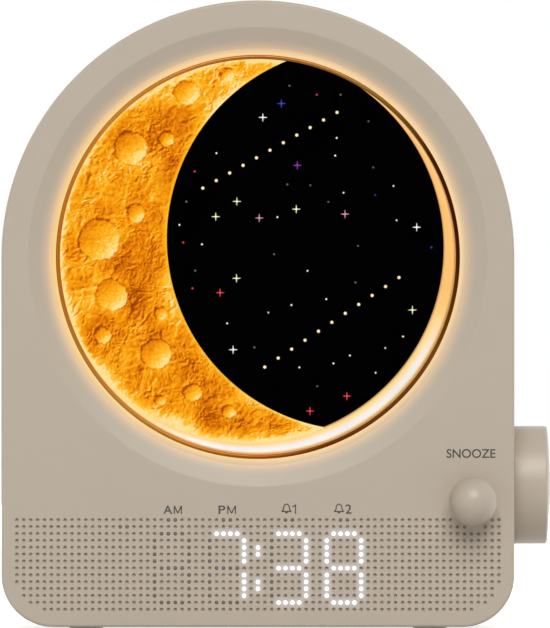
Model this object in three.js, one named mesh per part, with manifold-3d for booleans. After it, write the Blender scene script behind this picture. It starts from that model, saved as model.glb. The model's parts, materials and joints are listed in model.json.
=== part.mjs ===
// A bedside light alarm clock: an arched housing in two shells, a round moon lamp in a shallow dish,
// a dot display behind a perforated front, a push ball for snooze and a dial on the side wall.
// Millimetres, X to the right, Y to the back, Z up. The front face lies in y = 0 and the underside of
// the housing in z = 0, until the last lines set the origin on the ground below the middle.

import * as THREE from "three";
import { mergeGeometries, mergeVertices } from "three/addons/utils/BufferGeometryUtils.js";
import Module from "manifold-3d";

const wasm = await Module();
wasm.setup();

// Housing
const HOUSING_WIDTH = 149;
const HOUSING_HEIGHT = 182;
const HOUSING_DEPTH = 56;
const CORNER_RADIUS = 15;
const FRONT_SHELL_DEPTH = 18;
const WALL = 2.4;
const FRONT_EDGE_ROUND = 0.8;
const BACK_EDGE_ROUND = 4;
const SEAM_LIP_WALL = 1.2;
const SEAM_LIP_REACH = 2;

// Clearance between neighbouring pieces, and how far a cut runs past the face that it opens
const FIT = 0.3;
const OVERCUT = 1;

// Lamp: dish, bezel, light guide, and the stack of lens, picture and diffuser. The lamp shares its axis
// with the arch, and the dish is as large as the arch and the zone of the display leave room for.
const LAMP_Z = HOUSING_HEIGHT - HOUSING_WIDTH / 2;
const DISH_MARGIN = 7.8;
const DISPLAY_ZONE = 40.8;
const DISH_RADIUS = Math.min(HOUSING_WIDTH / 2 - DISH_MARGIN, LAMP_Z - DISPLAY_ZONE);
const DISH_DEPTH = 2.4;
const DISH_BORDER = 8;
const BEZEL_RADIUS = DISH_RADIUS - DISH_BORDER;
const BEZEL_LIP_WIDTH = 1.2;
const BEZEL_LIP_THICKNESS = 0.8;
const BEZEL_WALL = 0.6;
const BEZEL_SETBACK = 0.4;
const HALO_WALL = 1.1;
const HALO_REACH = 1.4;
const LENS_THICKNESS = 1.2;
const PICTURE_THICKNESS = 2;
const DIFFUSER_THICKNESS = 1.5;
const LAMP_TUBE_BACK = 13;

// Picture: the printed disc sits off the lamp's axis, and the dark sky covers its right-hand part
const PICTURE_INSET = 2.1;
const PICTURE_RADIUS = BEZEL_RADIUS - PICTURE_INSET;
const PICTURE_SHIFT_X = -2.6;
const PICTURE_SHIFT_Z = 2.8;
const SKY_INSET = 0.9;
const SKY_RADIUS = PICTURE_RADIUS - SKY_INSET;
const SKY_SHIFT_SHARE = 0.516;
const SKY_SHIFT_X = PICTURE_RADIUS * SKY_SHIFT_SHARE;
const SKY_SHIFT_Z = 5.3;

// Craters of the moon panel: angle round the picture in degrees, share of the crescent's width, and
// radius as a share of the picture's
const CRATERS = [
  [112, 0.42, 0.064],
  [128, 0.62, 0.039],
  [141, 0.4, 0.085],
  [163, 0.66, 0.057],
  [178, 0.36, 0.099],
  [199, 0.6, 0.078],
  [214, 0.3, 0.053],
  [229, 0.58, 0.088],
  [247, 0.4, 0.057],
];
const CRATER_SINK = 0.7;
const CRATER_FLOOR = 0.55;

// Lamp cup and its boards
const CUP_WALL = 2;
const CUP_DEPTH = 23;
const CUP_FLANGE = 2;
const LAMP_BOSS_RADIUS = 3.5;
const LAMP_BOSS_COUNT = 4;
const LAMP_BOSS_OVERLAP = 1.4;
const BOARD_THICKNESS = 1.6;
const HALO_BOARD_THICKNESS = 1.2;
const HALO_LED_COUNT = 8;
const HALO_LED_HEIGHT = 0.6;

// Rings of lamp LEDs: radius as a share of the cup's, and count
const LAMP_LED_RINGS = [
  [0.75, 8],
  [0.36, 4],
];
const LAMP_LED_SIZE = 3;
const LAMP_LED_HEIGHT = 0.8;

// Perforated field and the dots of the display
const HOLE_PITCH = 2;
const HOLE_COLUMNS = 71;
const TOP_ROW_GAP = 9.7;
const TOP_ROW_Z = DISPLAY_ZONE - TOP_ROW_GAP;
const LED_HOLE_RADIUS = 0.6;
const DIGIT_COLUMNS = [20, 28, 37, 45];
const DIGIT_BAR_ROWS = [2, 7, 12];
const DIGIT_POST_ROWS = [
  [3, 6],
  [8, 11],
];
const DIGIT_SPAN = 5;
const COLON_COLUMN = 35;
const COLON_ROWS = [
  [4, 5],
  [9, 10],
];
const INDICATOR_COLUMNS = [22, 30, 39, 47];
const SENSOR_COLUMN = 15;
const SENSOR_ROW = 1;

// Display film, mask and board behind the perforated front
const FILM_THICKNESS = 0.5;
const MASK_MARGIN = 3;
const MASK_WINDOW_EDGE = 0.8;
const LED_BAR_WIDTH = 0.9;
const LED_BAR_HEIGHT = 1.2;
const BOARD_LEFT_MARGIN = 12;
const BOARD_RIGHT_MARGIN = 10;
const BOARD_TOP_MARGIN = 5;
const BOARD_BOTTOM_MARGIN = 2.6;
const BOARD_SCREW_INSET = 3.2;
const BOARD_BOSS_RADIUS = 2.6;

// Snooze ball
const SNOOZE_INSET = 12.1;
const SNOOZE_X = HOUSING_WIDTH / 2 - SNOOZE_INSET;
const SNOOZE_Z = 36.5;
const SNOOZE_TRAVEL = 1;
const BALL_RADIUS = 7;
const STEM_RADIUS = 2.5;
const STEM_GROOVE = 0.5;
const GUIDE_LENGTH = 1.8;
const GUIDE_WALL = 2;
const CLIP_THICKNESS = 0.6;
const CLIP_RADIUS = 4.2;
const SWITCH_SIZE = 6;
const ARM_LEFT_REACH = 12;
const ARM_RIGHT_REACH = 4.5;
const ARM_HEIGHT = 12;
const PLUNGER_RADIUS = 1.6;
const PLUNGER_SEAT = 1;
const SWITCH_FLOOR = 0.8;

// Side dial and its push encoder
const DIAL_RADIUS = 17.2;
const DIAL_REACH = 10.7;
const DIAL_CROWN = 0.9;
const DIAL_EDGE_ROUND = 0.8;
const DIAL_TRAVEL = 0.4;
const DIAL_Y = 28;
const DIAL_Z = 41;
const DIAL_SKIRT = 2.2;
const SHAFT_RADIUS = 3;
const SHAFT_REACH = 8;
const BUSH_WALL = 0.8;
const NUT_THICKNESS = 2;
const NUT_RADIUS = 5.6;
const NUT_SIDES = 6;
const ENCODER_DEPTH = 7;
const ENCODER_WIDTH = 12.5;
const ENCODER_HEIGHT = 13.5;
const ENCODER_FLOOR = 0.8;
const ACTUATOR_THICKNESS = 1.1;
const ENCODER_BOARD_MARGIN = 4;

// Main board, power inlet and backup cell
const MAIN_BOARD_MARGIN = 18.5;
const MAIN_BOARD_WIDTH = HOUSING_WIDTH - 2 * MAIN_BOARD_MARGIN;
const MAIN_BOARD_HEIGHT = 43;
const MAIN_BOARD_Z = 9;
const USB_X = 36;
const USB_Z = 20;
const USB_WIDTH = 8.94;
const USB_HEIGHT = 3.26;
const USB_LENGTH = 10;
const USB_CORNER = 1.5;
const USB_SHELL = 0.4;
const USB_MOUTH = 6.4;
const USB_TONGUE_WIDTH = 6.7;
const USB_TONGUE_HEIGHT = 0.7;
const CELL_X = -30;
const CELL_Z = 32;
const CELL_RADIUS = 10;
const CELL_THICKNESS = 3.2;
const HOLDER_WALL = 1.4;
const HOLDER_FLOOR = 1;
const DOOR_WIDTH = 30;
const DOOR_ABOVE_CELL = 14;
const DOOR_BELOW_CELL = 20;
const DOOR_THICKNESS = 1.5;
const DOOR_CORNER = 3;
const DOOR_LEDGE = 2.2;
const CONNECTOR_HEIGHT = 2.5;
const CONNECTOR_WIDTH = 15;
const CONNECTOR_DEPTH = 4;
const RIBBON_WIDTH = 12;
const RIBBON_THICKNESS = 0.4;
const RIBBON_STEPS = 8;
const DISPLAY_RIBBON_X = -8;
const LAMP_RIBBON_X = 20;
const LAMP_CONNECTOR_DROP = 25.8;

// Speaker on the back wall
const SPEAKER_Z = LAMP_Z;
const SPEAKER_RADIUS = 25;
const SPEAKER_DEPTH = 9;
const SPEAKER_FLANGE = 1.2;
const GASKET_THICKNESS = 1;
const GASKET_WIDTH = 3;
const CONE_WALL = 0.5;
const CONE_ROLL = 1.6;
const MAGNET_RADIUS = 15;
const MAGNET_DEPTH = 5;
const SPEAKER_RIB = 1.6;
const SPEAKER_RIB_HEIGHT = 5;
const SLOT_PITCH = 5;
const SLOT_HEIGHT = 1.8;
const SLOT_COUNT = 7;

// Screws, screw wells and feet
const CASE_SCREW = { head: 2.8, headHeight: 2, shank: 1.4, length: 16 };
const SMALL_SCREW = { head: 2.4, headHeight: 1.5, shank: 1, length: 6 };
const CASE_BOSS_RADIUS = 3.5;
const CASE_BOSS_INSET = 8.5;
const CASE_BOSS_X = HOUSING_WIDTH / 2 - CASE_BOSS_INSET;
const CASE_BOSS_Z = 13;
const CASE_BOSS_ANGLES = [45, 135];
const WELL_WALL = 1.2;
const WELL_SEAT = 8;
const FOOT_RADIUS = 5;
const FOOT_THICKNESS = 1.2;
const FOOT_PROUD = 0.4;
const FOOT_SIDE_INSET = 24.5;
const FOOT_X = HOUSING_WIDTH / 2 - FOOT_SIDE_INSET;
const FOOT_INSET = 9;

// Facets of round forms
const ARCH_STEPS = 28;
const HOUSING_CORNER_STEPS = 5;
const CORNER_STEPS = 3;
const EDGE_STEPS = 2;
const LAMP_SIDES = 36;
const DIAL_SIDES = 24;
const BALL_SIDES = 16;
const BALL_STEPS = 8;
const ROUND_SIDES = 12;
const SPEAKER_SIDES = 16;
const ROD_SIDES = 6;
const SCREW_SIDES = 6;
const LED_HOLE_SIDES = 4;
const CRATER_SIDES = 8;
const MERGE_TOLERANCE = 1e-4;

// Finishes
const SAND_PLASTIC = { color: 0xbaad9c, roughness: 0.55, metalness: 0 };
const BRONZE = { color: 0x4c1e06, roughness: 0.35, metalness: 0.6 };
const CLEAR = { color: 0xffffff, roughness: 0.05, metalness: 0, transparent: true, opacity: 0.15 };
const AMBER_LIGHT = { color: 0xffc375, roughness: 0.2, metalness: 0 };
const MOON_AMBER = { color: 0xffa513, roughness: 0.5, metalness: 0 };
const SKY_BLACK = { color: 0x050505, roughness: 0.15, metalness: 0 };
const OPAL_WHITE = { color: 0xf2efe8, roughness: 0.5, metalness: 0 };
const BLACK_PLASTIC = { color: 0x1a1a1a, roughness: 0.6, metalness: 0 };
const BOARD_GREEN = { color: 0x1f5a36, roughness: 0.45, metalness: 0 };
const STEEL = { color: 0xb8b8b8, roughness: 0.35, metalness: 1 };
const RUBBER = { color: 0x2a2a2a, roughness: 0.9, metalness: 0 };
const PAPER_CONE = { color: 0x30302e, roughness: 0.85, metalness: 0 };
const RIBBON_WHITE = { color: 0xe8e6e0, roughness: 0.4, metalness: 0 };

// Places along the depth, each from the piece in front of it
const LENS_FRONT = BEZEL_SETBACK + BEZEL_LIP_THICKNESS + FIT;
const PICTURE_FRONT = LENS_FRONT + LENS_THICKNESS + FIT;
const DIFFUSER_FRONT = PICTURE_FRONT + PICTURE_THICKNESS + FIT;
const CUP_FRONT = DIFFUSER_FRONT + DIFFUSER_THICKNESS + FIT;
const CUP_BACK = CUP_FRONT + CUP_DEPTH;
const HALO_BOARD_FRONT = LAMP_TUBE_BACK + FIT;
const FLANGE_FRONT = HALO_BOARD_FRONT + HALO_BOARD_THICKNESS + FIT;
const LAMP_BOARD_BACK = CUP_BACK - CUP_WALL - FIT;
const FILM_FRONT = WALL + FIT;
const MASK_FRONT = FILM_FRONT + FILM_THICKNESS + FIT;
const GUIDE_BACK = WALL + GUIDE_LENGTH;
const CLIP_FRONT = GUIDE_BACK + FIT;
const CLIP_BACK = CLIP_FRONT + CLIP_THICKNESS;
const STEM_BACK = CLIP_BACK + STEM_GROOVE;
const SWITCH_FRONT = STEM_BACK + SNOOZE_TRAVEL + FIT;
const PLUNGER_BACK = SWITCH_FRONT + PLUNGER_SEAT;
const SWITCH_BORE_BACK = PLUNGER_BACK + SNOOZE_TRAVEL + FIT;
const SWITCH_BACK = SWITCH_BORE_BACK + SWITCH_FLOOR;
const DISPLAY_BOARD_FRONT = SWITCH_BACK + FIT;
const DISPLAY_BOARD_BACK = DISPLAY_BOARD_FRONT + BOARD_THICKNESS;
const REAR_FRONT = FRONT_SHELL_DEPTH + FIT;
const BACK_WALL_FRONT = HOUSING_DEPTH - WALL;
const WELL_SEAT_Y = REAR_FRONT + WELL_SEAT;
const USB_BACK = HOUSING_DEPTH - FIT;
const MAIN_BOARD_BACK = USB_BACK - USB_LENGTH - FIT;
const MAIN_BOARD_FRONT = MAIN_BOARD_BACK - BOARD_THICKNESS;
const GASKET_FRONT = BACK_WALL_FRONT - FIT - GASKET_THICKNESS;
const BASKET_BACK = GASKET_FRONT - FIT;
const BASKET_FRONT = BASKET_BACK - SPEAKER_DEPTH;

// Radii of the lamp, each from the ring inside it
const STACK_RADIUS = BEZEL_RADIUS - BEZEL_WALL - FIT;
const HALO_INNER = BEZEL_RADIUS + FIT;
const HALO_OUTER = HALO_INNER + HALO_WALL;
const APERTURE_RADIUS = HALO_OUTER + FIT;
const TUBE_RADIUS = APERTURE_RADIUS + WALL;
const LAMP_BOSS_CIRCLE = TUBE_RADIUS + LAMP_BOSS_RADIUS - LAMP_BOSS_OVERLAP;
const HALO_BOARD_RADIUS = LAMP_BOSS_CIRCLE - LAMP_BOSS_RADIUS - FIT;
const CASE_BOSS_CIRCLE = TUBE_RADIUS + FIT + CASE_BOSS_RADIUS;
const CUP_INNER = STACK_RADIUS - CUP_WALL;

// Places along the dial's axis, each from the side wall
const WALL_OUTER_X = HOUSING_WIDTH / 2;
const WALL_INNER_X = WALL_OUTER_X - WALL;
const ENCODER_RIGHT = WALL_INNER_X - FIT;
const ENCODER_LEFT = ENCODER_RIGHT - ENCODER_DEPTH;
const BUSH_RADIUS = SHAFT_RADIUS + FIT + BUSH_WALL;
const NUT_LEFT = WALL_OUTER_X + FIT;
const BUSH_RIGHT = NUT_LEFT + NUT_THICKNESS;
const DIAL_LEFT = WALL_OUTER_X;
const DIAL_RIGHT = DIAL_LEFT + DIAL_REACH;
const DIAL_GROOVE_FLOOR = DIAL_LEFT - DIAL_TRAVEL - FIT;
const DIAL_HOLLOW_RIGHT = BUSH_RIGHT + DIAL_TRAVEL + FIT;
const ACTUATOR_LEFT = ENCODER_LEFT + ENCODER_FLOOR + DIAL_TRAVEL + FIT;
const SHAFT_LEFT = ACTUATOR_LEFT + ACTUATOR_THICKNESS + FIT;
const SHAFT_RIGHT = WALL_OUTER_X + SHAFT_REACH;

const clock = new THREE.Group();

function solidFrom(vertProperties, triangles) {
  const mesh = new wasm.Mesh({ numProp: 3, vertProperties, triVerts: new Uint32Array(triangles.flat()) });
  return new wasm.Manifold(mesh);
}

function toSolid(geometry) {
  const bare = new THREE.BufferGeometry();
  const flat = geometry.index ? geometry.toNonIndexed() : geometry;
  bare.setAttribute("position", flat.getAttribute("position").clone());
  const merged = mergeVertices(bare, MERGE_TOLERANCE);
  const corners = merged.getIndex().array;
  const triangles = [];
  for (let start = 0; start < corners.length; start += 3) {
    const [a, b, c] = corners.slice(start, start + 3);
    if (a !== b && b !== c && c !== a) {
      triangles.push([a, b, c]);
    }
  }
  const points = merged.getAttribute("position").array;
  const solid = solidFrom(points, triangles);
  if (solid.volume() > 0) {
    return solid;
  }
  const turnedOver = triangles.map(([a, b, c]) => [a, c, b]);
  return solidFrom(points, turnedOver);
}

function addPart(name, solid, finish) {
  const { vertProperties, triVerts } = solid.getMesh();
  const geometry = new THREE.BufferGeometry();
  geometry.setAttribute("position", new THREE.BufferAttribute(vertProperties, 3));
  geometry.setIndex(new THREE.BufferAttribute(triVerts, 1));
  geometry.computeVertexNormals();
  const mesh = new THREE.Mesh(geometry, new THREE.MeshStandardMaterial(finish));
  mesh.name = name;
  clock.add(mesh);
}

// A flat outline in X and Z, drawn out along Y, with its outer edges rounded if asked
function slab(shape, front, back, round = 0) {
  const geometry = new THREE.ExtrudeGeometry(shape, {
    depth: back - front - 2 * round,
    bevelEnabled: round > 0,
    bevelThickness: round,
    bevelSize: round,
    bevelOffset: -round,
    bevelSegments: EDGE_STEPS,
  });
  geometry.rotateX(Math.PI / 2);
  geometry.translate(0, back - round, 0);
  return toSolid(geometry);
}

// A profile of radius and depth, turned about a line along Y
function turned(profile, x, z, sides) {
  const points = profile.map(([radius, along]) => new THREE.Vector2(radius, along));
  const geometry = new THREE.LatheGeometry(points, sides);
  geometry.translate(x, 0, z);
  return toSolid(geometry);
}

// A profile of radius and reach, turned about the dial's axis along X
function turnedOnDial(profile, sides) {
  const points = profile.map(([radius, along]) => new THREE.Vector2(radius, along));
  const geometry = new THREE.LatheGeometry(points, sides);
  geometry.rotateZ(-Math.PI / 2);
  geometry.translate(0, DIAL_Y, DIAL_Z);
  return toSolid(geometry);
}

function ring(inner, outer, front, back) {
  const profile = [
    [inner, front],
    [outer, front],
    [outer, back],
    [inner, back],
    [inner, front],
  ];
  return turned(profile, 0, LAMP_Z, LAMP_SIDES);
}

function rod(radius, front, back, x, z, sides = ROD_SIDES) {
  const geometry = new THREE.CylinderGeometry(radius, radius, back - front, sides);
  geometry.translate(x, (front + back) / 2, z);
  return toSolid(geometry);
}

function block([left, right], [front, back], [low, high]) {
  const geometry = new THREE.BoxGeometry(right - left, back - front, high - low);
  geometry.translate((left + right) / 2, (front + back) / 2, (low + high) / 2);
  return toSolid(geometry);
}

function around(centre, size) {
  return [centre - size / 2, centre + size / 2];
}

// Everything between two depths, across the whole housing
function depthSlice(front, back) {
  return block([-HOUSING_WIDTH, HOUSING_WIDTH], [front, back], [-OVERCUT, HOUSING_HEIGHT + OVERCUT]);
}

function arcPoints(x, z, radius, startDegrees, endDegrees, steps) {
  const points = [];
  for (let step = 0; step <= steps; step += 1) {
    const degrees = startDegrees + ((endDegrees - startDegrees) * step) / steps;
    const angle = THREE.MathUtils.degToRad(degrees);
    points.push(new THREE.Vector2(x + radius * Math.cos(angle), z + radius * Math.sin(angle)));
  }
  return points;
}

function housingOutline(inset) {
  const cornerX = HOUSING_WIDTH / 2 - CORNER_RADIUS;
  const cornerRadius = CORNER_RADIUS - inset;
  return new THREE.Shape([
    ...arcPoints(0, LAMP_Z, HOUSING_WIDTH / 2 - inset, 0, 180, ARCH_STEPS),
    ...arcPoints(-cornerX, CORNER_RADIUS, cornerRadius, 180, 270, HOUSING_CORNER_STEPS),
    ...arcPoints(cornerX, CORNER_RADIUS, cornerRadius, 270, 360, HOUSING_CORNER_STEPS),
  ]);
}

function roundedRectangle([left, right], [low, high], radius) {
  return new THREE.Shape([
    ...arcPoints(right - radius, high - radius, radius, 0, 90, CORNER_STEPS),
    ...arcPoints(left + radius, high - radius, radius, 90, 180, CORNER_STEPS),
    ...arcPoints(left + radius, low + radius, radius, 180, 270, CORNER_STEPS),
    ...arcPoints(right - radius, low + radius, radius, 270, 360, CORNER_STEPS),
  ]);
}

function onLampCircle(radius, degrees) {
  const angle = THREE.MathUtils.degToRad(degrees);
  return [radius * Math.cos(angle), LAMP_Z + radius * Math.sin(angle)];
}

function lampBossPlaces() {
  const places = [];
  for (let boss = 0; boss < LAMP_BOSS_COUNT; boss += 1) {
    places.push(onLampCircle(LAMP_BOSS_CIRCLE, (boss * 360) / LAMP_BOSS_COUNT));
  }
  return places;
}

function caseBossPlaces() {
  const upper = CASE_BOSS_ANGLES.map((degrees) => onLampCircle(CASE_BOSS_CIRCLE, degrees));
  return [[CASE_BOSS_X, CASE_BOSS_Z], [-CASE_BOSS_X, CASE_BOSS_Z], ...upper];
}

function columnX(column) {
  return (column - (HOLE_COLUMNS - 1) / 2) * HOLE_PITCH;
}

function rowZ(row) {
  return TOP_ROW_Z - row * HOLE_PITCH;
}

// Every lit bar of the display, as its first and last column and its first and last row
function displayBars() {
  const bars = [];
  for (const column of DIGIT_COLUMNS) {
    for (const row of DIGIT_BAR_ROWS) {
      bars.push([column + 1, column + DIGIT_SPAN - 1, row, row]);
    }
    for (const [top, bottom] of DIGIT_POST_ROWS) {
      bars.push([column, column, top, bottom]);
      bars.push([column + DIGIT_SPAN, column + DIGIT_SPAN, top, bottom]);
    }
  }
  for (const [top, bottom] of COLON_ROWS) {
    bars.push([COLON_COLUMN, COLON_COLUMN, top, bottom]);
  }
  for (const column of INDICATOR_COLUMNS) {
    bars.push([column, column + 1, 0, 0]);
  }
  bars.push([SENSOR_COLUMN, SENSOR_COLUMN + 1, SENSOR_ROW, SENSOR_ROW]);
  return bars;
}

// Each digit, the colon, each indicator and the sensor pair, as their columns and rows
function displayWindows() {
  const lastRow = DIGIT_BAR_ROWS.at(-1);
  const digits = DIGIT_COLUMNS.map((column) => [column, column + DIGIT_SPAN, DIGIT_BAR_ROWS[0], lastRow]);
  const indicators = INDICATOR_COLUMNS.map((column) => [column, column + 1, 0, 0]);
  const colon = [COLON_COLUMN, COLON_COLUMN, COLON_ROWS[0][0], COLON_ROWS.at(-1)[1]];
  return [...digits, ...indicators, colon, [SENSOR_COLUMN, SENSOR_COLUMN + 1, SENSOR_ROW, SENSOR_ROW]];
}

function displayDots() {
  const dots = [];
  for (const [left, right, top, bottom] of displayBars()) {
    for (let column = left; column <= right; column += 1) {
      for (let row = top; row <= bottom; row += 1) {
        dots.push([column, row]);
      }
    }
  }
  return dots;
}

// Blocks as wide as asked along every bar of the display
function barBlocks(width, front, back) {
  const blocks = displayBars().map(([left, right, top, bottom]) => {
    const spanX = [columnX(left) - width / 2, columnX(right) + width / 2];
    const spanZ = [rowZ(bottom) - width / 2, rowZ(top) + width / 2];
    return block(spanX, [front, back], spanZ);
  });
  return wasm.Manifold.union(blocks);
}

function displayField(margin) {
  const right = DIGIT_COLUMNS.at(-1) + DIGIT_SPAN;
  return {
    spanX: [columnX(SENSOR_COLUMN) - margin, columnX(right) + margin],
    spanZ: [rowZ(DIGIT_BAR_ROWS.at(-1)) - margin, rowZ(0) + margin],
  };
}

function displayBoardEdges() {
  const { spanX, spanZ } = displayField(0);
  return {
    left: spanX[0] - BOARD_LEFT_MARGIN,
    right: spanX[1] + BOARD_RIGHT_MARGIN,
    low: spanZ[0] - BOARD_BOTTOM_MARGIN,
    high: spanZ[1] + BOARD_TOP_MARGIN,
    armLeft: SNOOZE_X - ARM_LEFT_REACH,
    armRight: SNOOZE_X + ARM_RIGHT_REACH,
    armLow: SNOOZE_Z - ARM_HEIGHT / 2,
    armHigh: SNOOZE_Z + ARM_HEIGHT / 2,
  };
}

function displayBossPlaces() {
  const edges = displayBoardEdges();
  return [
    [edges.left + BOARD_SCREW_INSET, edges.low + BOARD_SCREW_INSET],
    [edges.left + BOARD_SCREW_INSET, edges.high - BOARD_SCREW_INSET],
    [edges.right - BOARD_SCREW_INSET, edges.low + BOARD_SCREW_INSET],
    [edges.armLeft + BOARD_SCREW_INSET, SNOOZE_Z],
  ];
}

function mainBoardBossPlaces() {
  const x = MAIN_BOARD_WIDTH / 2 - BOARD_SCREW_INSET;
  const low = MAIN_BOARD_Z + BOARD_SCREW_INSET;
  const high = MAIN_BOARD_Z + MAIN_BOARD_HEIGHT - BOARD_SCREW_INSET;
  return [
    [x, low],
    [-x, low],
    [x, high],
    [-x, high],
  ];
}

function footPlaces() {
  const rows = [FOOT_INSET, HOUSING_DEPTH - FOOT_INSET];
  return rows.flatMap((y) => [
    [FOOT_X, y],
    [-FOOT_X, y],
  ]);
}

function upright(radius, low, high, x, y) {
  const geometry = new THREE.CylinderGeometry(radius, radius, high - low, ROUND_SIDES);
  geometry.rotateX(Math.PI / 2);
  geometry.translate(x, y, (low + high) / 2);
  return toSolid(geometry);
}

function footRecesses() {
  const depth = FOOT_THICKNESS - FOOT_PROUD + FIT;
  return wasm.Manifold.union(footPlaces().map(([x, y]) => upright(FOOT_RADIUS + FIT, -OVERCUT, depth, x, y)));
}

// A pan-head screw along Y, from the seat of its head to its tip
function screw({ head, headHeight, shank, length }, seat, direction, x, z) {
  const profile = [
    [0, seat - direction * length],
    [shank, seat - direction * length],
    [shank, seat],
    [head, seat],
    [head, seat + direction * headHeight],
    [0, seat + direction * headHeight],
  ];
  return turned(profile, x, z, SCREW_SIDES);
}

function screwHole({ shank }, front, back, x, z) {
  return rod(shank + FIT, front, back, x, z, SCREW_SIDES);
}

function pilotHole(kind, seat, x, z) {
  return screwHole(kind, seat - kind.length - OVERCUT, seat + OVERCUT, x, z);
}

function dishCutter() {
  const slope = (DISH_RADIUS - APERTURE_RADIUS) / DISH_DEPTH;
  const profile = [
    [0, -OVERCUT],
    [DISH_RADIUS + slope * OVERCUT, -OVERCUT],
    [APERTURE_RADIUS, DISH_DEPTH],
    [APERTURE_RADIUS, LAMP_TUBE_BACK + OVERCUT],
    [0, LAMP_TUBE_BACK + OVERCUT],
  ];
  return turned(profile, 0, LAMP_Z, LAMP_SIDES);
}

function lampTube() {
  const inside = APERTURE_RADIUS - OVERCUT;
  const profile = [
    [inside, WALL / 2],
    [DISH_RADIUS + WALL, WALL / 2],
    [DISH_RADIUS + WALL, WALL],
    [TUBE_RADIUS, DISH_DEPTH + WALL],
    [TUBE_RADIUS, LAMP_TUBE_BACK],
    [inside, LAMP_TUBE_BACK],
    [inside, WALL / 2],
  ];
  return turned(profile, 0, LAMP_Z, LAMP_SIDES);
}

function ledHoles() {
  const holes = displayDots().map(([column, row]) => {
    const depth = WALL + 2 * OVERCUT;
    const geometry = new THREE.CylinderGeometry(LED_HOLE_RADIUS, LED_HOLE_RADIUS, depth, LED_HOLE_SIDES);
    return geometry.translate(columnX(column), WALL / 2, rowZ(row));
  });
  return toSolid(mergeGeometries(holes));
}

// The snooze guide: a tube behind the front wall, a bore for the stem and a recess for the ball's back
function snoozeGuide() {
  return rod(STEM_RADIUS + FIT + GUIDE_WALL, WALL / 2, GUIDE_BACK, SNOOZE_X, SNOOZE_Z, ROUND_SIDES);
}

function snoozeCuts() {
  const bore = rod(STEM_RADIUS + FIT, -OVERCUT, GUIDE_BACK + OVERCUT, SNOOZE_X, SNOOZE_Z, ROUND_SIDES);
  const sunk = SNOOZE_TRAVEL;
  const mouth = Math.sqrt(BALL_RADIUS ** 2 - (BALL_RADIUS - sunk) ** 2) + FIT;
  const profile = [
    [0, -OVERCUT],
    [mouth, -OVERCUT],
    [mouth, FIT],
    [STEM_RADIUS + FIT, sunk + FIT],
    [0, sunk + FIT],
  ];
  return bore.add(turned(profile, SNOOZE_X, SNOOZE_Z, ROUND_SIDES));
}

// A round groove in both shells' side wall: the dial's skirt starts flush with the wall and is pressed into it
function dialGroove() {
  const inner = DIAL_RADIUS - DIAL_SKIRT - FIT;
  const outer = DIAL_RADIUS + FIT;
  const profile = [
    [inner, DIAL_GROOVE_FLOOR],
    [outer, DIAL_GROOVE_FLOOR],
    [outer, WALL_OUTER_X + OVERCUT],
    [inner, WALL_OUTER_X + OVERCUT],
    [inner, DIAL_GROOVE_FLOOR],
  ];
  return turnedOnDial(profile, DIAL_SIDES);
}

function frontHousing() {
  const outer = slab(housingOutline(0), 0, FRONT_SHELL_DEPTH + FRONT_EDGE_ROUND, FRONT_EDGE_ROUND);
  const behind = depthSlice(FRONT_SHELL_DEPTH, HOUSING_DEPTH);
  const cavity = slab(housingOutline(WALL), WALL, FRONT_SHELL_DEPTH + OVERCUT);
  const bosses = [
    ...lampBossPlaces().map(([x, z]) => rod(LAMP_BOSS_RADIUS, DISH_DEPTH, FLANGE_FRONT - FIT, x, z)),
    ...caseBossPlaces().map(([x, z]) => rod(CASE_BOSS_RADIUS, WALL / 2, FRONT_SHELL_DEPTH, x, z)),
    ...displayBossPlaces().map(([x, z]) => rod(BOARD_BOSS_RADIUS, WALL / 2, DISPLAY_BOARD_FRONT - FIT, x, z)),
  ];
  const lampSeat = FLANGE_FRONT + CUP_FLANGE + FIT;
  const displaySeat = DISPLAY_BOARD_BACK + FIT;
  const pilots = [
    ...lampBossPlaces().map(([x, z]) => pilotHole(SMALL_SCREW, lampSeat, x, z)),
    ...caseBossPlaces().map(([x, z]) => pilotHole(CASE_SCREW, WELL_SEAT_Y, x, z)),
    ...displayBossPlaces().map(([x, z]) => pilotHole(SMALL_SCREW, displaySeat, x, z)),
  ];
  const shell = outer.subtract(behind).subtract(cavity);
  const fitted = wasm.Manifold.union([shell, lampTube(), snoozeGuide(), ...bosses]);
  const openings = [dishCutter(), snoozeCuts(), footRecesses(), ledHoles(), dialGroove()];
  const cuts = wasm.Manifold.union([...openings, ...pilots]);
  addPart("front_housing", fitted.subtract(cuts), SAND_PLASTIC);
}

function seamLip() {
  const front = FRONT_SHELL_DEPTH - SEAM_LIP_REACH;
  const back = REAR_FRONT + SEAM_LIP_REACH;
  const outside = slab(housingOutline(WALL + FIT), front, back);
  const inside = slab(housingOutline(WALL + FIT + SEAM_LIP_WALL), front - OVERCUT, back + OVERCUT);
  const fillet = slab(housingOutline(WALL / 2), REAR_FRONT, back);
  return outside.add(fillet).subtract(inside);
}

function speakerSlots() {
  const reach = SPEAKER_RADIUS - GASKET_WIDTH - SLOT_PITCH / 2;
  const slots = [];
  for (let slot = 0; slot < SLOT_COUNT; slot += 1) {
    const rise = (slot - (SLOT_COUNT - 1) / 2) * SLOT_PITCH;
    const halfLength = Math.sqrt(Math.max(reach ** 2 - rise ** 2, SLOT_PITCH ** 2));
    const spanX = [-halfLength, halfLength];
    const outline = roundedRectangle(spanX, around(SPEAKER_Z + rise, SLOT_HEIGHT), SLOT_HEIGHT / 3);
    slots.push(slab(outline, BACK_WALL_FRONT - OVERCUT, HOUSING_DEPTH + OVERCUT));
  }
  return wasm.Manifold.union(slots);
}

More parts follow.
